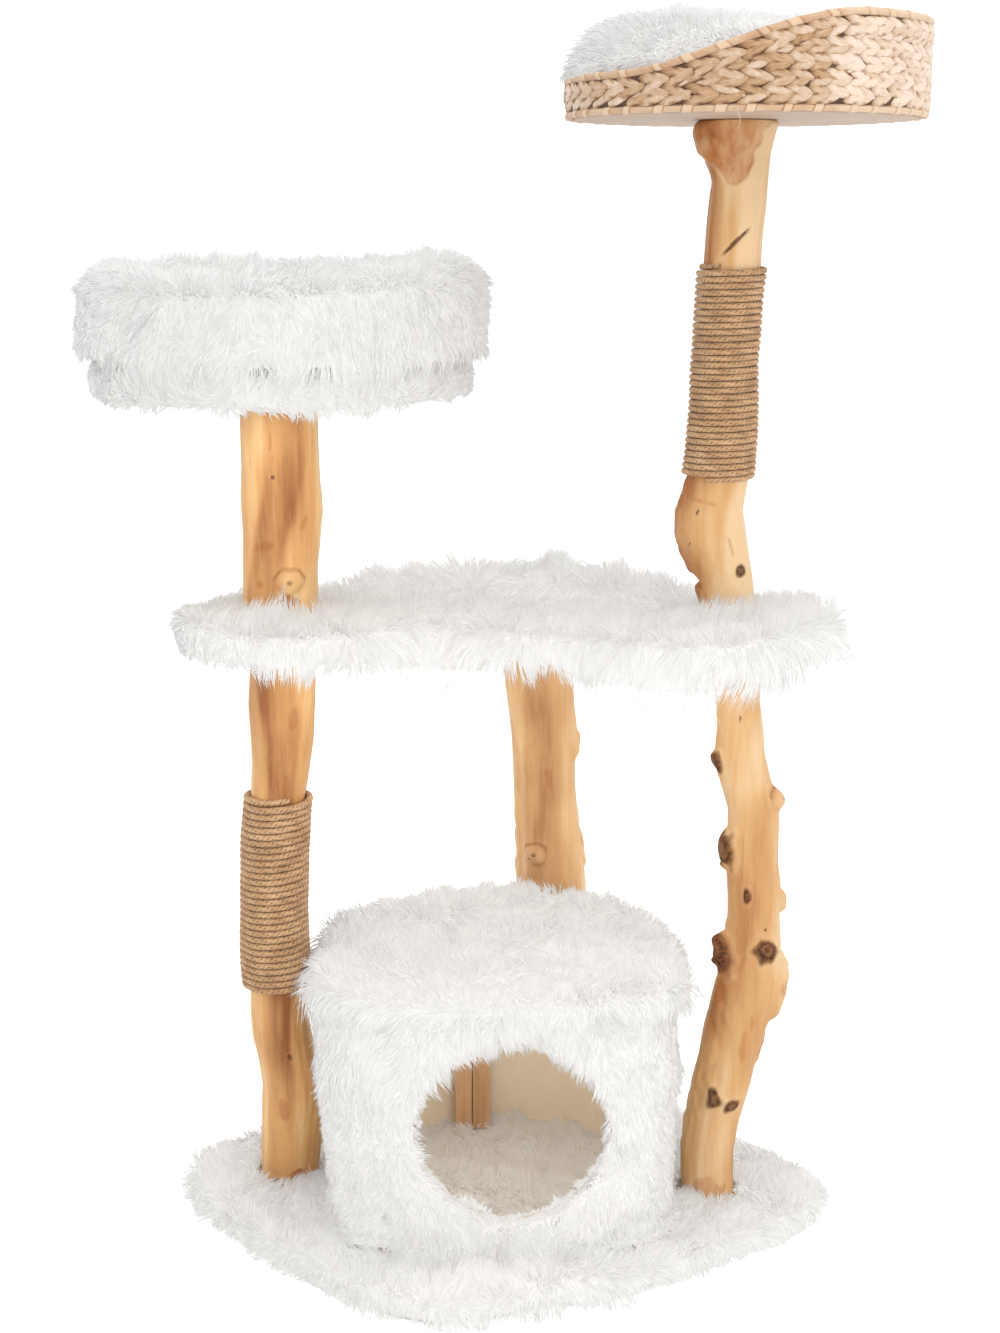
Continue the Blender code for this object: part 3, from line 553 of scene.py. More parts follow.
def add_studio():
    world = bpy.data.worlds.new("studio")
    world.use_nodes = True
    sky = world.node_tree.nodes["Background"]
    sky.inputs["Color"].default_value = (1.0, 1.0, 1.0, 1.0)
    sky.inputs["Strength"].default_value = 1.3
    bpy.context.scene.world = world
    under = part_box("deck_underlay")[0].z - 0.015
    add_light("front", (0.3, -2.6, 0.50), (0, 0, 0.10), (1.8, 1.1), 6, (1.0, 0.99, 0.975))
    add_light("key", (1.8, -2.1, 2.3), (0, 0, 0.6), (1.5, 1.5), 21, (1.0, 0.985, 0.96))
    add_light("fill", (-2.2, -2.0, 2.1), (0, 0, 0.2), (1.8, 1.8), 8, (0.97, 0.985, 1.0))
    add_light("top", (0.2, 0.5, 3.2), (0, 0, 0.5), 70, 0.9, (1.0, 1.0, 1.0))
    add_light("roof", (0.0, -0.05, under), (0, -0.05, 0), (0.50, 0.22), 0.28, (1.0, 1.0, 0.99))
    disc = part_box("bed_disc_plush")[0]
    shelf = (middle_of("bed_disc_plush")[0], disc.y + 0.07, disc.z - 0.015)
    add_light("shelf", shelf, (*shelf[:2], 0), (0.26, 0.10), 0.16, (1.0, 1.0, 0.99))
    add_light("cabin", (0.012, -0.02, 0.280), (0.012, -0.02, 0.0), (0.20, 0.10), 0.33, (1.0, 0.95, 0.89))
    add_sweep()
    bpy.context.scene.view_settings.view_transform = "Standard"
    bpy.context.scene.cycles.max_bounces = 12
    bpy.context.scene.cycles.diffuse_bounces = 8


# ---------------------------------------------------------------- posts


def middle_line(node):
    """Heights, centres and mean radii of a post, read from its CAD rings."""
    points = points_of(NODES[node].data)
    heights = np.round(points[:, 2], 4)
    rows = []
    for z in np.unique(heights):
        ring = np.unique(np.round(points[heights == z, :2], 5), axis=0)
        if len(ring) < 15:
            continue
        centre = (ring.max(0) + ring.min(0)) / 2
        reach = np.linalg.norm(ring - centre, axis=1)
        rows.append((z, *centre, reach[reach > 0.015].mean()))
    return np.array(rows)


LINES = {node: middle_line(node) for node in POSTS}


def post_at(node, z):
    """Centre and mean radius of a post at each height."""
    line = LINES[node]
    x, y, radius = (np.interp(z, line[:, 0], line[:, k]) for k in (1, 2, 3))
    return np.stack([x, y], 1), radius


# Marks on the wood: kind, direction in degrees from +X (-90 faces the front), height, half width,
# half height and rise in mm, and slant in degrees
MARKS = {
    "left_lower_post": [
        ("dark", -118, 0.030, 7, 4, 2, 0), ("red", -72, 0.036, 9, 6, 0, 0),
        ("dark", -75, 0.181, 2.5, 4, 0, 0), ("scar", -100, 0.118, 7, 14, 0, 10),
        ("scar", -60, 0.560, 6, 14, 0, 0), ("burl", 180, 0.560, 18, 24, 0.6, 0),
        ("burl", 0, 0.100, 20, 34, 2, 0),
    ],
    "left_upper_post": [
        ("knot", -71, 0.707, 13, 12, 4, 0), ("red", -71, 0.687, 9, 8, 1.5, 20),
        ("scar", -112, 0.742, 11, 5, 0, 10),
        ("dark", -96, 0.812, 1.8, 1.8, 0, 0), ("scar", -97, 0.845, 1.2, 18, 0, 6),
        ("scar", -118, 0.703, 4, 4, 0, 0),
        ("burl", 0, 0.779, 18, 20, 1.2, 0), ("scar", -50, 0.765, 3, 9, 0, -20),
    ],
    "centre_post": [
        ("knot", -115, 0.350, 13, 11, 6, 0), ("dark", -122, 0.345, 3.5, 2.5, 0, 0),
        ("burl", -8, 0.470, 14, 14, 5, 0), ("burl", 0, 0.345, 14, 20, 3, 0),
        ("burl", 180, 0.500, 30, 160, 2.5, 0), ("burl", 0, 0.400, 25, 70, 1.5, 0),
        ("scar", -85, 0.440, 4, 14, 0, 10), ("dark", -70, 0.575, 1.8, 4, 0, 0),
        ("dark", -60, 0.600, 1.5, 3, 0, 0),
    ],
    "right_lower_post": [
        ("dark", -168, 0.511, 9, 13, 6.5, 0), ("knot", -12, 0.471, 11, 11, 9, 0),
        ("dark", -155, 0.417, 12, 18, 13, 8),
        ("dark", -112, 0.371, 5, 9, 1, 0), ("burl", 0, 0.358, 9, 9, 6.5, 0),
        ("dark", -69, 0.314, 13.5, 13.5, 3, -20),
        ("dark", -157, 0.303, 12, 19, 14.5, 6), ("burl", -4, 0.262, 20, 36, 7, 0),
        ("burl", 180, 0.215, 25, 90, 3.5, 0), ("scar", -20, 0.262, 7, 14, 0, 30),
        ("dark", -109, 0.144, 9.5, 11.5, 3, 10), ("dark", -69, 0.136, 10, 8, 2, 15),
        ("light", -88, 0.139, 6, 9, 1, 0),
        ("dark", -95, 0.560, 1.6, 4, 0, -20), ("scar", -78, 0.205, 4, 14, 0, 10),
        ("burl", 0, 0.196, 14, 18, 4, 0),
        ("scar", -110, 0.590, 3, 10, 0, -15), ("scar", -95, 0.040, 18, 13, 0, 0),
        ("dark", -70, 0.335, 1.4, 2, 0, 0), ("scar", -75, 0.232, 2, 9, 0, 15),
    ],
    "right_upper_post": [
        ("slash", -93, 1.036, 18, 2.2, 0, 45), ("dark", -53, 0.716, 7.5, 7.5, 1, 0),
        ("burl", 175, 0.762, 24, 30, 2.5, 0),
        ("burl", 178, 0.702, 18, 9, -10, 0), ("burl", -165, 1.130, 22, 16, 6, 0),
        ("burl", -170, 1.098, 20, 12, -3, 0), ("scar", -110, 0.785, 14, 1.5, 0, -8),
        ("dark", -120, 0.775, 1.2, 3, 0, 0), ("dark", -135, 0.742, 1.2, 2, 0, 0),
        ("scar", -62, 0.740, 2, 10, 0, 6),
    ],
}


def heartwood_and_painted_light(node, points, angle):
    """Shade values for a post's band: a darker heartwood band on the left and centre posts, and on the right
    posts painted shade on the left side with a painted highlight towards the right front.
    """
    if node.startswith("left"):
        middle = turned(angle, math.radians(-93)) + 0.25 * waves(points * (1, 1, 0.3), 0.06, 43)
        return fade(0.42, 0.72, np.abs(middle))
    side = turned(angle, math.radians(-90)) + 0.3 * waves(points * (1, 1, 0.35), 0.07, 44)
    if node == "centre_post":
        band = 0.65 * fade(0.45, 0.75, np.abs(side + 0.15))
    else:
        # On the right posts the band is painted light: darker towards the left side, and lighter where the
        # hump makes a painted highlight on the right front.
        strength = 1.8 if node == "right_upper_post" else 0.25
        band = strength * (smoothstep(0.2, 1.1, -side) - hump(side, 0.75, 0.4))
    return band + 0.25 * waves(points * (1, 1, 0.4), 0.045, 45)


def mark_post(node, points):
    """How far each mark moves the surface of a post, and its shade values."""
    centre, radius = post_at(node, points[:, 2])
    angle = np.arctan2(points[:, 1] - centre[:, 1], points[:, 0] - centre[:, 0])
    wobble = 0.15 * waves(points, 0.013, 41)
    move = np.zeros(len(points))
    shades = {key: np.zeros(len(points)) for key in ("dark", "light", "scar", "band")}

    def shade(key, value):
        shades[key] = np.maximum(shades[key], value)

    for kind, direction, height, half_width, half_height, rise, slant in MARKS[node]:
        turn = turned(angle, math.radians(direction)) * radius
        up = points[:, 2] - height
        c, s = math.cos(math.radians(slant)), math.sin(math.radians(slant))
        away = np.hypot((turn * c + up * s) / (half_width * MM), (up * c - turn * s) / (half_height * MM))
        if kind != "slash":
            away = away + wobble * (0.5 if kind == "knot" else 1.6)
        inside = fade(0.8, 1.1, away)
        move += rise * MM * fade(0.35, 1.4, away)
        if kind == "dark":
            move -= 0.10 * min(half_width, half_height) * MM * inside
            shade("dark", inside * (0.9 + 0.1 * np.cos(away * 11)))
            shade("light", 0.3 * hump(away, 1.28, 0.2))
        elif kind == "knot":
            shade("light", 0.6 * inside)
            above = 0.25 + 0.75 * smoothstep(-0.2, 0.5, up / (half_height * MM))
            shade("scar", above * (0.7 * hump(away, 0.95, 0.2) + 0.3 * hump(away, 0.6, 0.1)))
            shade("dark", 0.7 * fade(0.10, 0.28, away) + 0.5 * above * hump(away, 1.1, 0.07))
        elif kind == "slash":
            move -= 1.5 * MM * inside
            shade("dark", 0.9 * inside)
            shade("light", 0.7 * hump(away, 1.5, 0.3))
        elif kind in ("scar", "red"):
            shade("scar", (0.5 if kind == "scar" else 0.9) * inside)
        elif kind == "light":
            shade("light", inside)
    shades["band"] = heartwood_and_painted_light(node, points, angle)
    if node == "right_upper_post":
        drop = np.maximum(points_of(NODES[node].data)[:, 2].max() - points[:, 2], 0) / 0.059
        half_turn = 0.92 * np.sqrt(np.clip(1.0 - drop**1.6, 0, 1)) + 0.02
        edge = np.abs(turned(angle, math.radians(-104))) / half_turn + wobble
        heart = fade(0.85, 1.05, edge) * (drop < 1) * (drop > 0.04)
        shade("scar", heart * (0.66 + 0.12 * np.cos(edge * 14) + 0.25 * waves(points, 0.02, 46)).clip(0, 1))
        shade("light", 0.5 * hump(edge, 1.2, 0.15) * (drop < 1.1) * (drop > 0.1))
        move -= 1.2 * MM * heart
    return move, shades


def add_post(node, finish):
    obj = remeshed(node, node + "_wood", 2.0 * MM, 7, axes="XY")
    points = points_of(obj.data)
    centre, radius = post_at(node, points[:, 2])
    outward = np.zeros_like(points)
    outward[:, :2] = points[:, :2] - centre
    reach = np.linalg.norm(outward, axis=1)
    outward = unit(outward)
    skin = smoothstep(0.62, 0.85, reach / radius)
    low, high = points[:, 2].min(), points[:, 2].max()
    skin *= smoothstep(low, low + 0.004, points[:, 2]) * smoothstep(high, high - 0.004, points[:, 2])
    long_grain = points * (1, 1, 0.12)
    move, shades = mark_post(node, points)
    move += 0.7 * MM * waves(long_grain, 0.02, 7) + 0.35 * MM * waves(long_grain, 0.007, 8)
    move += 0.5 * MM * waves(points, 0.05, 9)
    move_points(obj, points + outward * (move * skin)[:, None])
    for key, value in shades.items():
        set_values(obj.data, key, value)
    coat(obj, finish)
    show(obj, node)
    return obj


# ---------------------------------------------------------------- rope


def surface_reach(tree, node, angle, z):
    """Distance from a post's middle line to its surface at each direction and height."""
    centre, radius = post_at(node, z)
    reach = []
    for turn, height, middle, usual in zip(angle, z, centre, radius):
        way = Vector((math.cos(turn), math.sin(turn), 0))
        start = Vector((*middle, height)) + way * 0.09
        hit = tree.ray_cast(start, -way)[0]
        reach.append(usual if hit is None else (hit - Vector((*middle, height))).length)
    return centre, np.array(reach)


def twisted(path, half_height, half_depth, lay, up):
    """A laid rope of three strands along a path: points, faces and shade values."""
    length = np.concatenate([[0], np.cumsum(np.linalg.norm(np.diff(path, axis=0), axis=1))])
    around = circle(12)
    phase = around[None] - 2 * math.pi * length[:, None] / lay
    lobes = 0.80 + 0.20 * np.abs(np.cos(1.5 * phase)) ** 0.6
    section = np.stack([half_depth * lobes * np.cos(around), half_height * lobes * np.sin(around)], -1)
    points, faces = tube(path, section, up)
    # groove marks the hollows between strands, which the rope's finish paints darker as shade.
    groove = fade(0.84, 0.93, lobes).ravel()
    grain = np.stack([np.broadcast_to(length[:, None] * 1000, phase.shape), phase * 3, lobes * 4], -1)
    return points, faces, {"groove": groove, "grain": grain.reshape(-1, 3)}


def add_rope(node, post, wood, turns, radial, end_direction, shift=0.0):
    """One long rope wound round a post. radial is half its thickness away from the wood, end_direction is
    where it starts, in degrees, and shift moves it in X."""
    bottom, top = (corner.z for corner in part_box(node))
    half_height = 0.49 * (top - bottom) / turns
    tree = BVHTree.FromPolygons(points_of(wood.data).tolist(), triangles_of(wood.data).tolist())
    steps = int(turns * 104)
    t = np.linspace(0, 1, steps)
    angle = math.radians(end_direction) + t * 2 * math.pi * (turns - 1)
    z = bottom + half_height + t * (top - bottom - 2 * half_height)
    z = z + 0.35 * MM * np.sin(angle * 0.5 + 1) * np.sin(math.pi * t)
    centre, reach = surface_reach(tree, post, angle, z)
    kernel = np.ones(9) / 9
    reach = np.convolve(np.pad(reach, 4, mode="edge"), kernel, mode="valid")
    tuck = 1.6 * radial * fade(0, 0.012, t) + 1.6 * radial * smoothstep(0.988, 1, t)
    reach = reach + radial * 1.2 - tuck
    x = centre[:, 0] + shift + reach * np.cos(angle)
    path = np.stack([x, centre[:, 1] + reach * np.sin(angle), z], 1)
    points, faces, values = twisted(path, half_height, radial, 0.0155, np.array([0, 0, 1.0]))
    obj = add_mesh(post.replace("_post", "_rope"), points, faces, ROPE, values)
    show(obj, node)


# ---------------------------------------------------------------- fur


HAIR_RADIUS = 0.8 * MM
# Painted shade: each hair's colour darkens from its tip down to its foot.
HAIR_SHADE = np.array([0.08] * 3 + [0.44] * 3 + [0.8])  # at each hair's foot, bend and tip


def spikes(name, roots, bends, tips, radius, tint, up, draw, parent, finish=None):
    """Hairs as closed three-sided spikes, each bent at a middle point, parented to their backing. Their
    shading follows the skin's direction up as well as their own, as in dense fur."""
    count = len(roots)
    aim = unit(tips - roots)
    side = unit(np.cross(aim, draw.normal(size=(count, 3))))
    other = np.cross(aim, side)
    middle = 0.27 * roots + 0.5 * bends + 0.23 * tips
    points = np.empty((count, 7, 3))
    normals = np.empty((count, 7, 3))
    for k in range(3):
        turn = 2 * math.pi * k / 3
        offset = math.cos(turn) * side + math.sin(turn) * other
        points[:, k] = roots + offset * radius[:, None]
        points[:, 3 + k] = middle + 0.72 * offset * radius[:, None]
        normals[:, k] = normals[:, 3 + k] = unit(0.45 * offset + up)
    points[:, 6] = tips
    normals[:, 6] = unit(0.45 * aim + up)
    points[..., 2] = np.maximum(points[..., 2], FLOOR_CLEARANCE)
    first = np.arange(count)[:, None] * 7
    threes = np.concatenate([first + np.array(f) for f in ([0, 2, 1], [3, 4, 6], [4, 5, 6], [5, 3, 6])])
    fours = np.concatenate([first + np.array(f) for f in ([0, 1, 4, 3], [1, 2, 5, 4], [2, 0, 3, 5])])
    shade = np.clip(HAIR_SHADE + tint[:, None], 0, 1).ravel()
    obj = add_mesh(name, points.reshape(-1, 3), [threes, fours], finish or FUR, {"tint": shade})
    obj.data.normals_split_custom_set_from_vertices(normals.reshape(-1, 3).tolist())
    obj.parent = parent
    obj.visible_shadow = False  # light passes between fine hairs
    obj.visible_diffuse = False


def clear_posts(points, margin):
    """Points moved out of the posts, which hairs press against."""
    points = points.copy()
    for node in POSTS:
        line = LINES[node]
        z = points[:, 2]
        centre, radius = post_at(node, z)
        offset = points[:, :2] - centre
        reach = np.linalg.norm(offset, axis=1)
        inside = (reach < radius + margin) & (z > line[0, 0] - 0.001) & (z < line[-1, 0] + 0.001)
        scale = (radius + margin) / np.maximum(reach, 1e-4)
        points[inside, :2] = (centre + offset * scale[:, None])[inside]
    return points


def ridge(normals):
    """1 where a skin faces half up and half sideways, and 0 where it's level, upright or faces down."""
    return 2 * np.clip(normals[:, 2], 0, 1) * np.hypot(normals[:, 0], normals[:, 1])


OUTER = {}  # which points of each pile hair can grow from


def add_pile(node, name, backing, body="root", depth=3.5, roughness=1.6, sink=None, seam=None, finish=None):
    """The dense lower part of the fur: a soft, uneven skin on its backing, depth and sink below the CAD skin.
    Near the height of a seam it moves only sideways."""
    obj = remeshed(node, name, 4.0 * MM, 2)
    points = points_of(obj.data)
    normals = normals_of(obj.data)
    free = np.ones(len(points))
    OUTER[name] = free > 0
    if backing:
        away = distances(points, tree_of(*backing), 0.02)
        free = smoothstep(0.002, 0.008, away)
        OUTER[name] = away > 0.0055
    move = (-depth + roughness * waves(points, 0.030, 21) + 0.6 * waves(points, 0.012, 22)) * MM
    if sink is not None:
        move = move - np.minimum(sink(points, 1 - np.abs(normals[:, 2])), 6.5) * MM
    moved = points + normals * (move * free)[:, None]
    moved[:, 2] = np.maximum(moved[:, 2], 0.0005)
    if seam is not None:
        near = np.abs(points[:, 2] - seam) < 7 * MM
        moved[near, 2] = points[near, 2]
    move_points(obj, moved)
    coat(obj, finish or FUR)
    # Painted shade: the pile's colour is darker on ridges, where light from above and from the front adds up.
    set_values(obj.data, "tint", 0.15 - 0.25 * ridge(normals_of(obj.data)))
    show(obj, node, body)
    return obj


def areas_of(points, triangles):
    a, b, c = (points[triangles[:, k]] for k in range(3))
    return np.linalg.norm(np.cross(b - a, c - a), axis=1)


def scatter(triangles, chosen, draw):
    """A function that reads values of points at a random place in each chosen triangle."""
    u, v = draw.random((2, len(chosen)))
    over = u + v > 1
    u[over], v[over] = 1 - u[over], 1 - v[over]
    weights = np.stack([1 - u - v, u, v], 1)[..., None]
    return lambda values: (values[triangles[chosen]] * weights).sum(1)


def nearest_of(leaders, roots):
    """Which of the first few roots is nearest to each root."""
    finder = KDTree(leaders)
    for i, place in enumerate(roots[:leaders].tolist()):
        finder.insert(place, i)
    finder.balance()
    return np.array([finder.find(place)[1] for place in roots.tolist()])


def drift(points, size, seed):
    return np.stack([waves(points, size, seed + k) for k in range(3)], 1)


def add_fur(pile, name, count, parts, seed, avoid=(), length=24.0, rise=0.75, fall=0.9, swirl=0.7,
            flat=0.6, keep=None, steer=None, trim=None, hold=None):
    """Combed hairs on the outer side of a pile. Lengths are in mm, and hairs on upright sides rise flat times
    as much. keep picks among the roots, steer adds to their direction, trim multiplies their length, and hold
    moves points back to where hair can be."""
    draw = np.random.default_rng(seed)
    mesh = pile.data
    points, normals, triangles = points_of(mesh), normals_of(mesh), triangles_of(mesh)
    outer = OUTER[pile.name].copy()
    if avoid:
        outer &= distances(points, tree_of(*avoid), 0.03) > 0.0035
    if keep is not None:
        outer &= keep(points, normals)
    triangles = triangles[outer[triangles].all(1)]
    total = np.cumsum(areas_of(points, triangles))
    chosen = np.searchsorted(total, (np.arange(count) + draw.random(count)) / count * total[-1])
    read = scatter(triangles, np.minimum(chosen, len(triangles) - 1), draw)
    order = draw.permutation(count)
    roots, up = read(points)[order], unit(read(normals))[order]

    swirls = drift(roots, 0.085, seed + 1) + 0.6 * drift(roots, 0.028, seed + 4)
    swirls -= up * (swirls * up).sum(1)[:, None]
    down = np.array([0, 0, -1.0]) - up * (-up[:, 2])[:, None]
    lean = down * fall + swirls * swirl
    if steer is not None:
        lean = lean + steer(roots, up)
    edge = ridge(up)
    lift = rise * (1 + 0.35 * waves(roots, 0.02, seed + 7)) * (flat + (1 - flat) * np.abs(up[:, 2]))
    way = unit(up * (lift * (1 + 0.8 * edge))[:, None] + lean + 0.22 * draw.normal(size=(count, 3)))
    long = length * MM * (0.62 + 0.5 * draw.random(count)) * (1 + 0.22 * waves(roots, 0.035, seed + 8))
    long = long * (1 - 0.12 * edge)
    if trim is not None:
        long = long * trim(roots, up)
    tips = roots + way * long[:, None]
    tips[:, 2] -= 0.10 * long

    leaders = count // 13  # hairs that others gather towards, in tufts
    nearest = nearest_of(leaders, roots)
    follow = 0.6 * draw.random(count) ** 0.6
    stray = draw.random(count) < 0.05
    follow[stray] = 0
    goal = tips[nearest] + 0.22 * (roots - roots[nearest])
    tips = tips * (1 - follow)[:, None] + goal * follow[:, None]
    bends = roots + up * (long * 0.42)[:, None] + way * (long * 0.18)[:, None]
    bends = bends * 0.85 + 0.15 * tips

    thick = HAIR_RADIUS * (0.7 + 0.6 * draw.random(count))
    thick[stray] *= 0.55
    tint = 0.16 * draw.random(count) + 0.14 * draw.random(leaders)[nearest] - 0.08
    # Painted shade: hairs on ridges get a darker colour, to offset the light that ridges catch.
    tint = tint - 0.42 * edge  # edges catch the most light
    roots = roots - up * 1.0 * MM
    tips, bends = clear_posts(tips, 0.8 * MM), clear_posts(bends, 1.2 * MM)
    if hold is not None:
        roots, bends, tips = hold(roots), hold(bends), hold(tips)
    split = np.array_split(np.argsort(roots[:, 0], kind="stable"), parts)
    for i, chosen in enumerate(split):
        label = name if parts == 1 else f"{name}_{i + 1}"
        hairs = [values[chosen] for values in (roots, bends, tips, thick, tint, up)]
        spikes(label, *hairs, draw, pile, mesh.materials[0])


def add_entrance_fur(pile):
    """Hairs rooted on the cut edge of the condo's entrance, which they cover."""
    draw = np.random.default_rng(350)
    count = 3600
    mesh = NODES["condo_wall"].data
    points, triangles = points_of(mesh), triangles_of(mesh)
    reach = np.linalg.norm(points[:, [0, 2]] - ENTRANCE, axis=1)
    front = points[:, 1] < -0.05
    edge = front & (reach < reach[front].min() + 1.5 * MM)
    triangles = triangles[edge[triangles].all(1)]
    area = areas_of(points, triangles)
    roots = scatter(triangles, draw.choice(len(triangles), count, p=area / area.sum()), draw)(points)
    inward = np.zeros_like(roots)
    inward[:, [0, 2]] = ENTRANCE - roots[:, [0, 2]]
    inward = unit(inward)
    way = inward * 0.8 + np.array([0, -0.85, -0.2]) + 0.5 * drift(roots, 0.022, 351)
    way = unit(way + 0.25 * draw.normal(size=(count, 3)))
    foot, head = smoothstep(0.3, 0.9, inward[:, 2]), smoothstep(0.3, 0.9, -inward[:, 2])
    long = (7.5 + 6 * foot + 5 * head) * MM * (0.6 + 0.6 * draw.random(count))
    long = long * np.clip(1 + 0.55 * waves(roots, 0.016, 355), 0.35, 2.0)
    tips = roots + way * long[:, None]
    nearest = nearest_of(count // 10, roots)
    follow = 0.6 * draw.random((count, 1)) ** 0.6
    tips = tips * (1 - follow) + (tips[nearest] + 0.2 * (roots - roots[nearest])) * follow
    bends = roots * 0.5 + tips * 0.5 + inward * 1.5 * MM
    thick = HAIR_RADIUS * (0.7 + 0.6 * draw.random(count))
    # Painted shade: the entrance hairs are darker, to offset the cabin lamp that lights them from close by.
    tint = 0.16 * draw.random(count) - 0.22
    spikes("condo_entrance_fur", roots - inward * 0.8 * MM, bends, tips, thick, tint,
           unit(inward * 0.5 + np.array([[0, -1.0, 0]])), draw, pile)


# The functions below shape each piece's fur. sink gives how far its pile lies below the CAD skin, in mm,
# where side is 1 on upright skin and 0 on level skin. p holds places in metres, and n the skin's directions.


def fur_base():
    def sink(p, side):
        x, y, _ = p.T
        left = smoothstep(0.04, 0.20, -x) * fade(0.06, 0.16, y)
        right = smoothstep(0.12, 0.24, x) * smoothstep(-0.04, 0.08, y)
        front = hump(x, 0.05, 0.11) * fade(-0.2, -0.1, y)
        back = smoothstep(0.10, 0.18, -x) * smoothstep(0.08, 0.16, y)
        corner = smoothstep(0.08, 0.20, -x) * fade(-0.06, 0.02, y)
        end = smoothstep(0.24, 0.30, x) * fade(-0.02, 0.05, y)
        return side * (4 * left + 12 * right - 10 * front + 6 * back + 3 * corner - 5 * end)

    def trim(p, n):
        """Longer hairs at the front, and shorter ones along the back and right edges."""
        x, y, _ = p.T
        front = hump(x, 0.06, 0.10) * fade(-0.2, -0.1, y)
        back = smoothstep(0.05, 0.16, y) * fade(0.3, 0.9, n[:, 2])
        right = smoothstep(0.20, 0.27, x) * smoothstep(0.0, 0.08, y)
        return 1 + 0.25 * front - 0.7 * np.clip(back + right, 0, 1)

    def forward(p, n):
        """Hairs at the middle of the front edge reach out over the floor."""
        front = hump(p[:, 0], 0.06, 0.12) * fade(-0.2, -0.1, p[:, 1]) * fade(0.3, 0.9, n[:, 2])
        return np.array([[0, -0.9, 0.2]]) * front[:, None]

    base = add_pile("base_plush", "base_pile", ["base_board", "base_underlay"], sink=sink)
    avoid = [node for node in POSTS if "upper" not in node]
    avoid += ["condo_wall_plush", "condo_wall", "condo_lining", "left_condo_batten", "right_condo_batten"]
    add_fur(base, "base_fur", 44000, 3, 100, avoid=avoid, trim=trim, steer=forward,
            keep=lambda p, n: (p[:, 2] > 0.005) & (n[:, 2] > -0.5))


def by_posts(p, n):
    """How near each root is to the front of a post's foot on the deck."""
    near = np.zeros(len(p))
    for node in ("left_upper_post", "right_upper_post"):
        foot = LINES[node][0]
        x, y = p[:, 0] - foot[1], p[:, 1] - foot[2]
        near += hump(x, 0, 0.055) * smoothstep(-0.090, -0.060, y) * fade(-0.03, 0.01, y)
    return near * smoothstep(0.5, 0.8, n[:, 2])


def fur_deck():
    middle = middle_of("deck_board")[2]

    def sink(p, side):
        x, y, z = p.T
        ends = smoothstep(0.23, 0.28, np.abs(x)) * smoothstep(-0.12, -0.04, y)
        ends += 0.7 * smoothstep(0.24, 0.30, -x)
        raised = (5 * ends + 3 * fade(-0.10, -0.04, y)) * (z > middle)
        return -5 * side * smoothstep(0.28, 0.31, x) - (1 - side) * raised

    def front_edge(n):
        return smoothstep(0.1, 0.5, -n[:, 1]) * fade(0.0, 0.6, n[:, 2])

    def trim(p, n):
        """Longer hairs hang from the deck's front edge."""
        x, y, _ = p.T
        tufts = 1.3 * hump(x, -0.085, 0.05) + 1.1 * hump(x, 0.175, 0.055)
        tufts += 0.34 - 0.45 * smoothstep(0.19, 0.25, -x) + 0.05 * smoothstep(0.22, 0.28, x)
        long = 1 + tufts * front_edge(n) * fade(0.0, 0.05, y) + 0.6 * smoothstep(0.10, 0.16, y)
        long += 0.25 * smoothstep(0.26, 0.31, x) - 0.3 * smoothstep(0.26, 0.30, -x)
        return long + 0.75 * by_posts(p, n)

    def stand(p, n):
        """Hairs in front of a post's foot stand up and hide it, and two tufts of the fringe hang down."""
        hang = front_edge(n) * (hump(p[:, 0], -0.085, 0.05) + hump(p[:, 0], 0.185, 0.05))
        return np.array([[0, 0, 1.0]]) * (3.0 * by_posts(p, n) - 0.9 * hang)[:, None]

    deck = add_pile("deck_plush", "deck_pile", ["deck_board", "deck_underlay"], sink=sink)
    add_fur(deck, "deck_fur", 36000, 2, 200, avoid=POSTS, length=25, rise=0.85, flat=0.5, trim=trim,
            steer=stand, keep=lambda p, n: (n[:, 2] > -0.6))


def fur_condo_wall():
    foot, top = (corner.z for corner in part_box("condo_wall_plush"))

    def sink(p, side):
        x, _, z = p.T
        left = smoothstep(0.08, 0.14, -x) * fade(0.08, 0.24, z)
        right = smoothstep(0.08, 0.14, x) * fade(0.24, 0.30, z)
        return side * (6 * left + 11 * right)

    def inward(p, n):
        """Hairs at the entrance lean over its edge, and those at the foot lean forward."""
        away = p[:, [0, 2]] - ENTRANCE
        reach = np.linalg.norm(away, axis=1)
        front = p[:, 1] < -0.10
        near = fade(0.100, 0.125, reach) * front
        pull = np.full_like(p, -0.5)
        pull[:, [0, 2]] = -away / np.maximum(reach, 1e-4)[:, None]
        pull = pull * (near * (0.8 + 0.5 * waves(p, 0.018, 91)))[:, None]
        pull[:, 2] += 0.9 * near
        pull[:, 1] -= 0.5 * fade(0.03, 0.08, p[:, 2]) * front
        return pull

    def trim(p, n):
        """Shorter hairs round the entrance and at the wall's sides."""
        x, y, z = p.T
        ring = fade(0.098, 0.120, np.linalg.norm(p[:, [0, 2]] - ENTRANCE, axis=1)) * (y < -0.10)
        side = smoothstep(0.07, 0.13, np.abs(x)) * fade(0.05, 0.27, z)
        right = smoothstep(0.09, 0.14, x) * smoothstep(0.19, 0.24, z)
        return (1 - 0.10 * ring) * (1 - 0.6 * np.maximum(side, right))

    wall = add_pile("condo_wall_plush", "condo_wall_pile", ["condo_wall"], sink=sink, seam=top)
    add_fur(wall, "condo_wall_fur", 39000, 2, 300, avoid=["centre_post"], fall=1.0, swirl=0.45, rise=0.62,
            length=23, steer=inward, trim=trim, keep=lambda p, n: p[:, 2] > foot + 0.002)
    add_fur(wall, "condo_foot_fur", 2600, 1, 330, avoid=["centre_post"], fall=0.8, length=18,
            keep=lambda p, n: (p[:, 2] < foot + 0.012) & (n[:, 2] > -0.75))
    add_entrance_fur(wall)


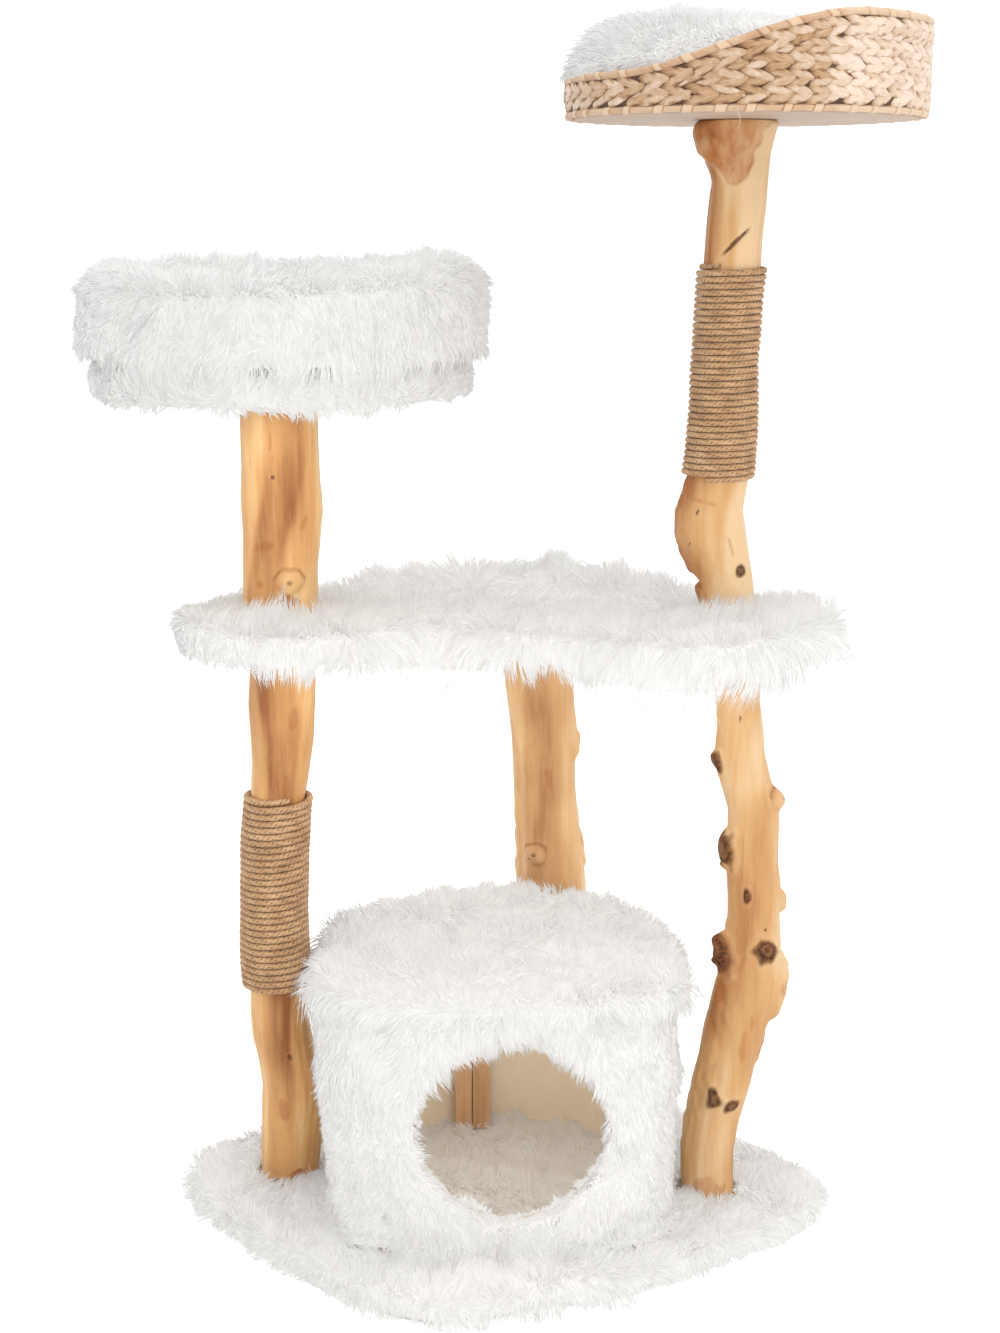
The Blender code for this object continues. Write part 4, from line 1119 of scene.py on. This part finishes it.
def fur_condo_roof():
    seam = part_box("condo_wall_plush")[1].z

    def sink(p, side):
        x = p[:, 0]
        return -side * (2.5 + 1.5 * smoothstep(0.12, 0.17, -x) - 0.5 * smoothstep(0.12, 0.17, x))

    def eave(p, n):
        """Longer hairs at the roof's edge hang over the top of the wall."""
        return 1 + (0.8 - 0.5 * smoothstep(0.11, 0.15, p[:, 0])) * fade(0.1, 0.7, n[:, 2])

    roof = add_pile("condo_roof_plush", "condo_roof_pile", ["condo_roof_board"], sink=sink, seam=seam)
    add_fur(roof, "condo_roof_fur", 19900, 1, 400, avoid=["centre_post"], trim=eave,
            keep=lambda p, n: n[:, 2] > -0.6)
    add_fur(roof, "condo_eave_fur", 3000, 1, 450, avoid=["centre_post"], fall=1.1,
            keep=lambda p, n: (p[:, 2] < seam + 0.010) & (n[:, 2] > -0.75))


def fur_bed_disc():
    middle = middle_of("bed_disc_plush")

    def trim(p, n):
        """Shorter hairs at the disc's left and right, and underneath."""
        beside = smoothstep(0.13, 0.18, np.abs(p[:, 0] - middle[0]))
        return (1 - 0.60 * beside) * (1 - 0.4 * smoothstep(0.1, 0.5, -n[:, 2]))

    def lift_front(p, n):
        """Hairs at the disc's front stand up against the ring."""
        front = fade(0.14, 0.175, np.abs(p[:, 0] - middle[0])) * smoothstep(-0.6, 0.0, n[:, 2])
        return np.array([[0, 0, 1.6]]) * (front * (p[:, 1] < middle[1]))[:, None]

    def outside(p, n):
        return (np.hypot(p[:, 0] - middle[0], p[:, 1] - middle[1]) > 0.168) & (n[:, 2] > -0.8)

    disc = add_pile("bed_disc_plush", "bed_disc_pile", ["bed_board", "bed_underlay"], depth=0.0,
                    finish=HIGH_FUR_PAINTED_SHADE)
    add_fur(disc, "bed_disc_fur", 12000, 1, 500, avoid=["left_upper_post"], length=22, trim=trim,
            steer=lift_front, keep=outside)


def fur_bed_ring():
    middle = middle_of("bed_disc_plush")
    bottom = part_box("bed_bolster")[0].z

    def sink(p, side):
        """The ring's top is lower at its left and middle than at its right."""
        x, y, z = p[:, 0] - middle[0], p[:, 1] - middle[1], p[:, 2] - bottom
        outer = smoothstep(0.17, 0.19, np.hypot(x, y)) * smoothstep(0.01, 0.04, z)
        return 6 * side * outer + (2.5 - 7 * smoothstep(0.06, 0.13, x)) * (z > 0.04) * (1 - side)

    def skirt(p, n):
        """Longer hairs at the ring's foot hang over the disc."""
        x, z = p[:, 0] - middle[0], p[:, 2] - bottom
        left, right = smoothstep(0.10, 0.17, -x), smoothstep(0.10, 0.17, x)
        middle_part = 0.5 * fade(0.015, 0.045, z) * (1 - left - right)
        return 1 + middle_part - (0.5 * left + 0.25 * right) * fade(0.05, 0.09, z)

    ring = add_pile("bed_bolster", "bed_bolster_pile", [], "bed_cushion", depth=2.5, roughness=2.2, sink=sink,
                    finish=HIGH_FUR_PAINTED_SHADE)
    add_fur(ring, "bed_bolster_fur", 38000, 2, 600, length=25, fall=0.95, swirl=0.6, rise=0.8, flat=0.45,
            trim=skirt, keep=lambda p, n: ~((n[:, 2] < -0.7) & (p[:, 2] < bottom + 0.012)))

    pad = add_pile("bed_floor_pad", "bed_floor_pad_pile", [], "bed_cushion", depth=0.5, roughness=1.0,
                   finish=HIGH_FUR_PAINTED_SHADE)
    add_fur(pad, "bed_floor_pad_fur", 5000, 1, 700, length=20, keep=lambda p, n: n[:, 2] > 0.1)


def fur_basket_cushion():
    hub = middle_of("basket_wall")[:2]

    def dome(p, side):
        """The cushion bulges left of its middle and dips right of it."""
        x = p[:, 0] - HUB[0]
        return (1 - side) * (5 * hump(x, 0.02, 0.03) - 5 * hump(x, -0.10, 0.035))

    def over_rim(p, n):
        """Hairs near the low side flow outwards over the rim."""
        away = p[:, :2] - hub
        reach = np.linalg.norm(away, axis=1)
        flow = np.full_like(p, -0.35)
        flow[:, :2] = away / np.maximum(reach, 1e-4)[:, None] * smoothstep(0.06, 0.14, reach)[:, None]
        return flow * 1.3 * smoothstep(0.0, 0.10, -away[:, :1])

    def within_wall(p):
        """Hairs stay inside the basket's wall up to its rim, and lie on the rim where they cross it."""
        away = p[:, :2] - HUB
        reach = np.linalg.norm(away, axis=1)
        outer, top = wall_at(np.arctan2(away[:, 1], away[:, 0]))
        p = p.copy()
        inside = (reach > outer - 9 * MM) & (p[:, 2] < top - 2 * MM)
        scale = (outer - 9 * MM) / np.maximum(reach, 1e-4)
        p[inside, :2] = (HUB + away * scale[:, None])[inside]
        over = (reach > outer - 10 * MM) & ~inside
        p[over, 2] = np.maximum(p[over, 2], (top + 5 * MM)[over])
        return p

    def flatter(p, n):
        """Longer hairs at the far left, shorter ones from the middle to the right."""
        x = p[:, 0] - HUB[0]
        right = smoothstep(-0.10, -0.05, x) + smoothstep(-0.02, 0.04, x)
        return 1 + 0.2 * smoothstep(0.12, 0.16, -x) - 0.25 * right

    cushion = add_pile("basket_cushion", "basket_cushion_pile", [], "basket_pad", depth=2.0, roughness=2.0,
                       sink=dome, finish=CUSHION_FUR)
    add_fur(cushion, "basket_cushion_fur", 18500, 1, 800, length=26, steer=over_rim, fall=0.2, rise=1.0,
            hold=within_wall, trim=flatter,
            keep=lambda p, n: (n[:, 2] > -0.1) & (p[:, 2] > WALL_BOTTOM + 0.020))


# ---------------------------------------------------------------- basket


def read_basket():
    """The wall's directions, outer radii and rim heights from its CAD node, with its centre and lowest
    height."""
    centre = middle_of("basket_board")[:2]
    points = points_of(NODES["basket_wall"].data)
    offset = points[:, :2] - centre
    count = 48
    step = 360 / count
    angle = np.round(np.degrees(np.arctan2(offset[:, 1], offset[:, 0])) / step).astype(int) % count
    reach = np.linalg.norm(offset, axis=1)
    rows = []
    for k in range(count):
        here = angle == k
        rows.append((math.radians(step * k), reach[here].max(), points[here, 2].max()))
    return centre, np.array(rows), points[:, 2].min()


HUB, WALL, WALL_BOTTOM = read_basket()
SEAM = math.radians(-72)  # direction of the plaiting's seam
ROUND = 0.172  # radius that turns distances along the wall into angles
PITCH = 13.12 * MM  # height from one plait to the next
UNDER_RIM = 8.2 * MM  # depth of the top plait's middle below the rim


def wall_at(angle):
    """Outer radius and rim height of the basket's wall at each direction."""
    angle = np.mod(angle, 2 * math.pi)
    return tuple(np.interp(angle, WALL[:, 0], WALL[:, k], period=2 * math.pi) for k in (1, 2))


def round_wall(angle, inset, z):
    reach = wall_at(angle)[0] - inset
    return np.stack([HUB[0] + reach * np.cos(angle), HUB[1] + reach * np.sin(angle), z], -1)


def plait_ends():
    """Directions at which a plait's leaves end, and the arc from each to the one before it. They are closest
    together just left of the seam."""
    ends = []
    arc = 0.002
    while arc < math.pi * ROUND:
        step = 0.0145 + 0.0085 * min(arc / 0.065, 1)
        ends.append((SEAM - arc / ROUND, step))
        arc += step
    step = arc = 0.0175
    while arc < math.pi * ROUND - 0.008:
        ends.append((SEAM + arc / ROUND, step))
        arc += step
    return ends


def leaf_places(draw, lowest):
    """Rows of end direction, height, rise, half, step and lift of each leaf, in level plaits and one under
    the rim. Each plait is a row of chevrons, whose upper and lower halves are 1 and -1."""
    leaves = []
    for level in range(7):
        middle = WALL_BOTTOM + 0.0072 + PITCH * level
        wander = draw.normal(0, 0.008)
        for end, step in plait_ends():
            top = wall_at(np.array([end - 0.5 * step / ROUND]))[1][0]
            if middle < top - UNDER_RIM - 0.0045 and middle > lowest:
                deep = -1.3 if middle > top - UNDER_RIM - 0.0125 else 0.0
                leaves += [(end + wander, middle, 0.0, half, step, deep) for half in (1, -1)]
    for end, step in plait_ends():
        radius, top = wall_at(np.array([end - 0.06, end, end + 0.04]))
        if top[1] - UNDER_RIM >= lowest:
            rise = math.atan2(top[2] - top[0], 0.10 * radius[1])
            leaves += [(end, top[1] - UNDER_RIM, rise, half, step, 0.5) for half in (1, -1)]
    return np.array(leaves)


def leaf_shape():
    """Points of one leaf-shaped pad, as parts of its half length, half width and thickness, and its faces."""
    along = np.array([-0.98, -0.84, -0.6, -0.3, 0.0, 0.3, 0.6, 0.84, 0.97])
    around = circle(10)
    width = np.where(along < 0, (1 - np.abs(along) ** 1.9) ** 0.85, (1 - np.abs(along) ** 2.2) ** 0.72)
    across = width[:, None] * np.cos(around)
    depth = np.sqrt(width)[:, None] * np.sin(around)
    rings = np.stack([np.broadcast_to(along[:, None], across.shape), across, depth]).reshape(3, -1)
    tips = np.array([[-1.0, 1.0], [0, 0], [0, 0]])
    grid = np.arange(across.size).reshape(across.shape)
    left, right = across.size, across.size + 1
    caps = np.concatenate([
        np.stack([np.full(len(around), left), np.roll(grid[0], -1), grid[0]], 1),
        np.stack([np.full(len(around), right), grid[-1], np.roll(grid[-1], -1)], 1),
    ])
    return np.concatenate([rings, tips], 1), wrap_faces(grid), caps


def add_leaves(name, inset, facing, seed, lowest):
    """Plaits of leaf-shaped pads round one side of the wall, which point to the right. facing is 1 outside
    and -1 inside."""
    draw = np.random.default_rng(seed)
    leaves = leaf_places(draw, lowest)
    total = len(leaves)
    end, middle, rise, half, step, lift = leaves.T
    half_long = 0.5 * step * (1.56 + 0.18 * draw.random(total))
    half_wide = 5.15 * (0.86 + 0.26 * draw.random(total)) * MM
    thick = 2.1 * (0.85 + 0.3 * draw.random(total)) * MM
    loose = 1 + 1.2 * smoothstep(0.0, 0.05, turned(end, SEAM))
    tilt = (rise - half * np.radians(15.5 + draw.normal(0, 2.4, total) * loose))[:, None]
    angle = end + (draw.normal(0, 1.1 * MM, total) * loose - half_long) / ROUND
    height = middle + half * 3.35 * MM - half_long * np.sin(rise) + draw.normal(0, 0.3 * MM, total)

    shape, quads, caps = leaf_shape()
    along, across, depth = (shape[k] * size[:, None] for k, size in enumerate((half_long, half_wide, thick)))
    out = depth + (1.5 * shape[0] - 0.7 * shape[0] ** 2 + lift[:, None]) * MM  # the left end is tucked under
    turn = angle[:, None] + (along * np.cos(tilt) - across * np.sin(tilt)) / ROUND
    z = height[:, None] + along * np.sin(tilt) + across * np.cos(tilt)
    points = round_wall(turn, inset - facing * out, z).reshape(-1, 3)
    if facing < 0:
        quads, caps = quads[:, ::-1], caps[:, ::-1]
    start = np.arange(total)[:, None, None] * shape.shape[1]
    faces = [(start + quads).reshape(-1, 4), (start + caps).reshape(-1, 3)]

    seeds = draw.random(total)
    grain = np.stack([along * 1000, across * 1000, np.broadcast_to(seeds[:, None] * 90, along.shape)], -1)
    off = turned(angle, SEAM)
    # The tone steps up right of the seam, partly a real change at the seam and partly painted light on the
    # side the key lamp lights; left of the seam it stays darker as painted shade, and it rises a little again
    # further left.
    tone = 0.33 + 0.23 * smoothstep(-0.03, 0.03, off) + 0.10 * smoothstep(0.9, 1.5, -off)
    tone = tone + 0.24 * (seeds - 0.5)
    # Painted shade: each leaf is darker at its tucked left end, at its right end and along its long edges,
    # where the leaves lie under each other.
    edge = -0.42 * fade(-1.0, -0.3, shape[0]) - 0.30 * smoothstep(0.8, 1.0, shape[0])
    edge = edge - 0.40 * (np.abs(shape[1]) > 0.8)
    tone = (tone[:, None] + edge).reshape(-1)
    return add_mesh(name, points, faces, STRAW, {"grain": grain.reshape(-1, 3), "tone": tone})


def add_basket_core():
    angle = circle(192)
    rim = wall_at(angle)[1]
    bottom = np.full_like(angle, WALL_BOTTOM)
    rings = [round_wall(angle, 6.3 * MM, bottom), round_wall(angle, 2.9 * MM, bottom),
             round_wall(angle, 2.9 * MM, rim), round_wall(angle, 6.3 * MM, rim)]
    points = np.concatenate(rings)
    index = np.arange(len(points)).reshape(4, -1)
    faces = wrap_faces(np.concatenate([index, index[:1]]))
    grain = np.stack([np.tile(angle, 4) * ROUND / MM, points[:, 2] / MM, np.zeros(len(points))], 1)
    # The core's dark finish and low tone are painted shade.
    return add_mesh("basket_wall_core", points, [faces], STRAW_SHADE,
                    {"grain": grain, "tone": np.full(len(points), 0.2)}, smooth=False)


def add_rod(node, name, radius, flat, wrap_every, wrap_width, slant, light):
    """A rod round the basket's edge, with flat strips wound round it. wrap_every, wrap_width and slant are in
    mm, and light is the tone of the rod between its strips."""
    draw = np.random.default_rng(len(name))
    steps = 1080
    angle = circle(steps)
    low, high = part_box(node)
    rim = wall_at(angle)[1]
    if high.z - low.z > 0.02:
        z = rim + (high.z - rim.max()) / 2
    else:
        z = np.full(steps, (low.z + high.z) / 2)
    path = round_wall(angle, 4.5 * MM, z)
    around = circle(14)
    arc = angle[:, None] * ROUND / MM + slant * np.sin(around)[None]
    length = 2 * math.pi * ROUND / MM
    count = round(length / wrap_every)
    every = length / count
    which = np.floor(arc / every).astype(int) % count
    shift = draw.uniform(-0.16, 0.16, count)[which] * every
    widths = wrap_width * (0.8 + 0.4 * draw.random(count))[which]
    off = np.abs(arc - (np.floor(arc / every) + 0.5) * every - shift) - widths / 2
    wrap = fade(-0.5, 0.4, off)
    fibre = 0.10 * np.sin(around * 5)[None] * (1 - wrap)
    size = radius * (1 + fibre) + 0.55 * MM * wrap
    section = np.stack([size * np.cos(around) * flat, size * np.sin(around)], -1)
    points, faces = tube(path, section, np.array([0, 0, 1.0]), closed=True)
    tone = light + wrap * (0.52 - light + 0.16 * draw.random(count)[which])
    tone = tone + 0.05 * waves(points, 0.02, 5).reshape(arc.shape)
    # Painted light: the rod is lighter from the seam round its right side, which the key lamp lights.
    past = np.mod(angle - SEAM, 2 * math.pi)
    tone = tone + 0.20 * (smoothstep(0.0, 0.1, past) * fade(2.6, 3.0, past))[:, None]
    # Painted shade: dark lines along each strip's edges, where it steps off the rod.
    tone = tone - 0.48 * hump(off, 0, 0.6)
    along = np.where(wrap > 0.5, around[None] * 5, arc)
    across = np.where(wrap > 0.5, arc * 1.4, around[None] * 4)
    grain = np.stack([along, across, which * 7.0], -1).reshape(-1, 3)
    obj = add_mesh(name, points, faces, ROD_STRAW, {"grain": grain, "tone": tone.ravel()})
    show(obj, node)


def add_loose_fibre(core):
    """One thin fibre that hangs from the basket's foot."""
    count, sides = 24, 6
    t = np.linspace(0, 1, count)
    start = round_wall(np.array([math.radians(-99.5)]), -1.0 * MM, np.array([WALL_BOTTOM - 4 * MM]))[0]
    curve = np.stack([7 * t - 6 * t**3, -1.5 * np.sin(3 * t), -21 * t + 3 * t**2], 1)
    around = circle(sides)
    size = 0.45 * MM * (1.1 - 0.8 * t)
    section = np.stack([size[:, None] * np.cos(around), size[:, None] * np.sin(around)], -1)
    points, faces = tube(start + curve * MM, section, np.array([0, 1.0, 0]))
    grain = np.stack([np.repeat(t * 28, sides), np.tile(around, count), np.zeros(len(points))], 1)
    values = {"grain": grain, "tone": np.full(len(points), 0.5)}
    fibre = add_mesh("basket_loose_fibre", points, faces, STRAW, values)
    fibre.parent = core


def add_basket_board():
    """The basket's round bottom board, with slightly rounded edges."""
    low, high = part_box("basket_board")
    reach = (high.x - low.x) / 2
    count = 160
    angle = circle(count)
    lower = [(1.2, low.z), (0.35, low.z + 0.35 * MM), (0, low.z + 1.2 * MM)]
    upper = [(0, high.z - 1.2 * MM), (0.35, high.z - 0.35 * MM), (1.2, high.z)]
    rings = []
    for inset, z in lower + upper:
        ring = HUB + (reach - inset * MM) * np.stack([np.cos(angle), np.sin(angle)], 1)
        rings.append(np.column_stack([ring, np.full(count, z)]))
    index = np.arange(len(rings) * count).reshape(-1, count)
    faces = [wrap_faces(index), index[:1, ::-1], index[-1:]]
    board = add_mesh("basket_base_board", np.concatenate(rings), faces, WHITE_BOARD, smooth=False)
    show(board, "basket_board")


def add_basket():
    core = add_basket_core()
    show(core, "basket_wall")
    cushion_low = WALL_BOTTOM + 0.030
    for name, inset, facing, seed, lowest in (
        ("basket_weave_outside", 2.6 * MM, 1, 11, 0.0),
        ("basket_weave_inside", 6.6 * MM, -1, 12, cushion_low),
    ):
        weave = add_leaves(name, inset, facing, seed, lowest)
        weave.parent = core
    add_rod("basket_top_rim", "basket_rim_rod", 3.5 * MM, 1.0, 33, 9.5, 2.0, 0.42)
    add_rod("basket_bottom_rim", "basket_foot_rod", 3.1 * MM, 0.95, 30, 9.0, -1.2, 0.46)
    add_loose_fibre(core)
    add_basket_board()


# ---------------------------------------------------------------- condo and the rest of the CAD nodes


def add_lining():
    obj = copy_of("condo_lining", "condo_lining_cloth")
    obj.data.shade_smooth()
    obj.data.set_sharp_from_angle(angle=math.radians(35))
    coat(obj, LINING)
    show(obj, "condo_lining")


def paint(node, finish):
    """Gives a CAD node that stays in view its finish."""
    obj = NODES[node]
    if obj.material_slots:
        for holder in obj.material_slots:
            holder.material = finish
    else:
        obj.data.materials.append(finish)


def paint_nodes():
    finishes = {"board": BOARD, "underside_cloth": UNDERSIDE, "batten_wood": BATTEN, "zinc_steel": STEEL,
                "brass_insert": BRASS, "fur_white": FUR, "lining_cloth": LINING, "branch_wood": CENTRE_WOOD,
                "jute_rope": ROPE, "water_hyacinth": STRAW, "basket_board": WHITE_BOARD}
    for part in frame["record"]["subparts"]:
        paint(part["node"], finishes[part["material_slot"]])
    for side in ("left", "right"):
        bevel = NODES[side + "_condo_batten"].modifiers.new("edges", "BEVEL")
        bevel.width = 0.9 * MM
        bevel.segments = 2
        bevel.limit_method = "ANGLE"


add_camera()
add_studio()
paint_nodes()
woods = {"left_lower_post": LEFT_WOOD, "left_upper_post": LEFT_WOOD, "centre_post": CENTRE_WOOD,
         "right_lower_post": RIGHT_WOOD, "right_upper_post": RIGHT_WOOD}
trunks = {node: add_post(node, finish) for node, finish in woods.items()}
add_rope("left_rope_wrap", "left_lower_post", trunks["left_lower_post"], 31, 3.9 * MM, -60, 0.4 * MM)
add_rope("right_rope_wrap", "right_upper_post", trunks["right_upper_post"], 34, 3.2 * MM, -120, 0.0)
add_basket()
add_lining()
fur_base()
fur_deck()
fur_condo_wall()
fur_condo_roof()
fur_bed_disc()
fur_bed_ring()
fur_basket_cushion()
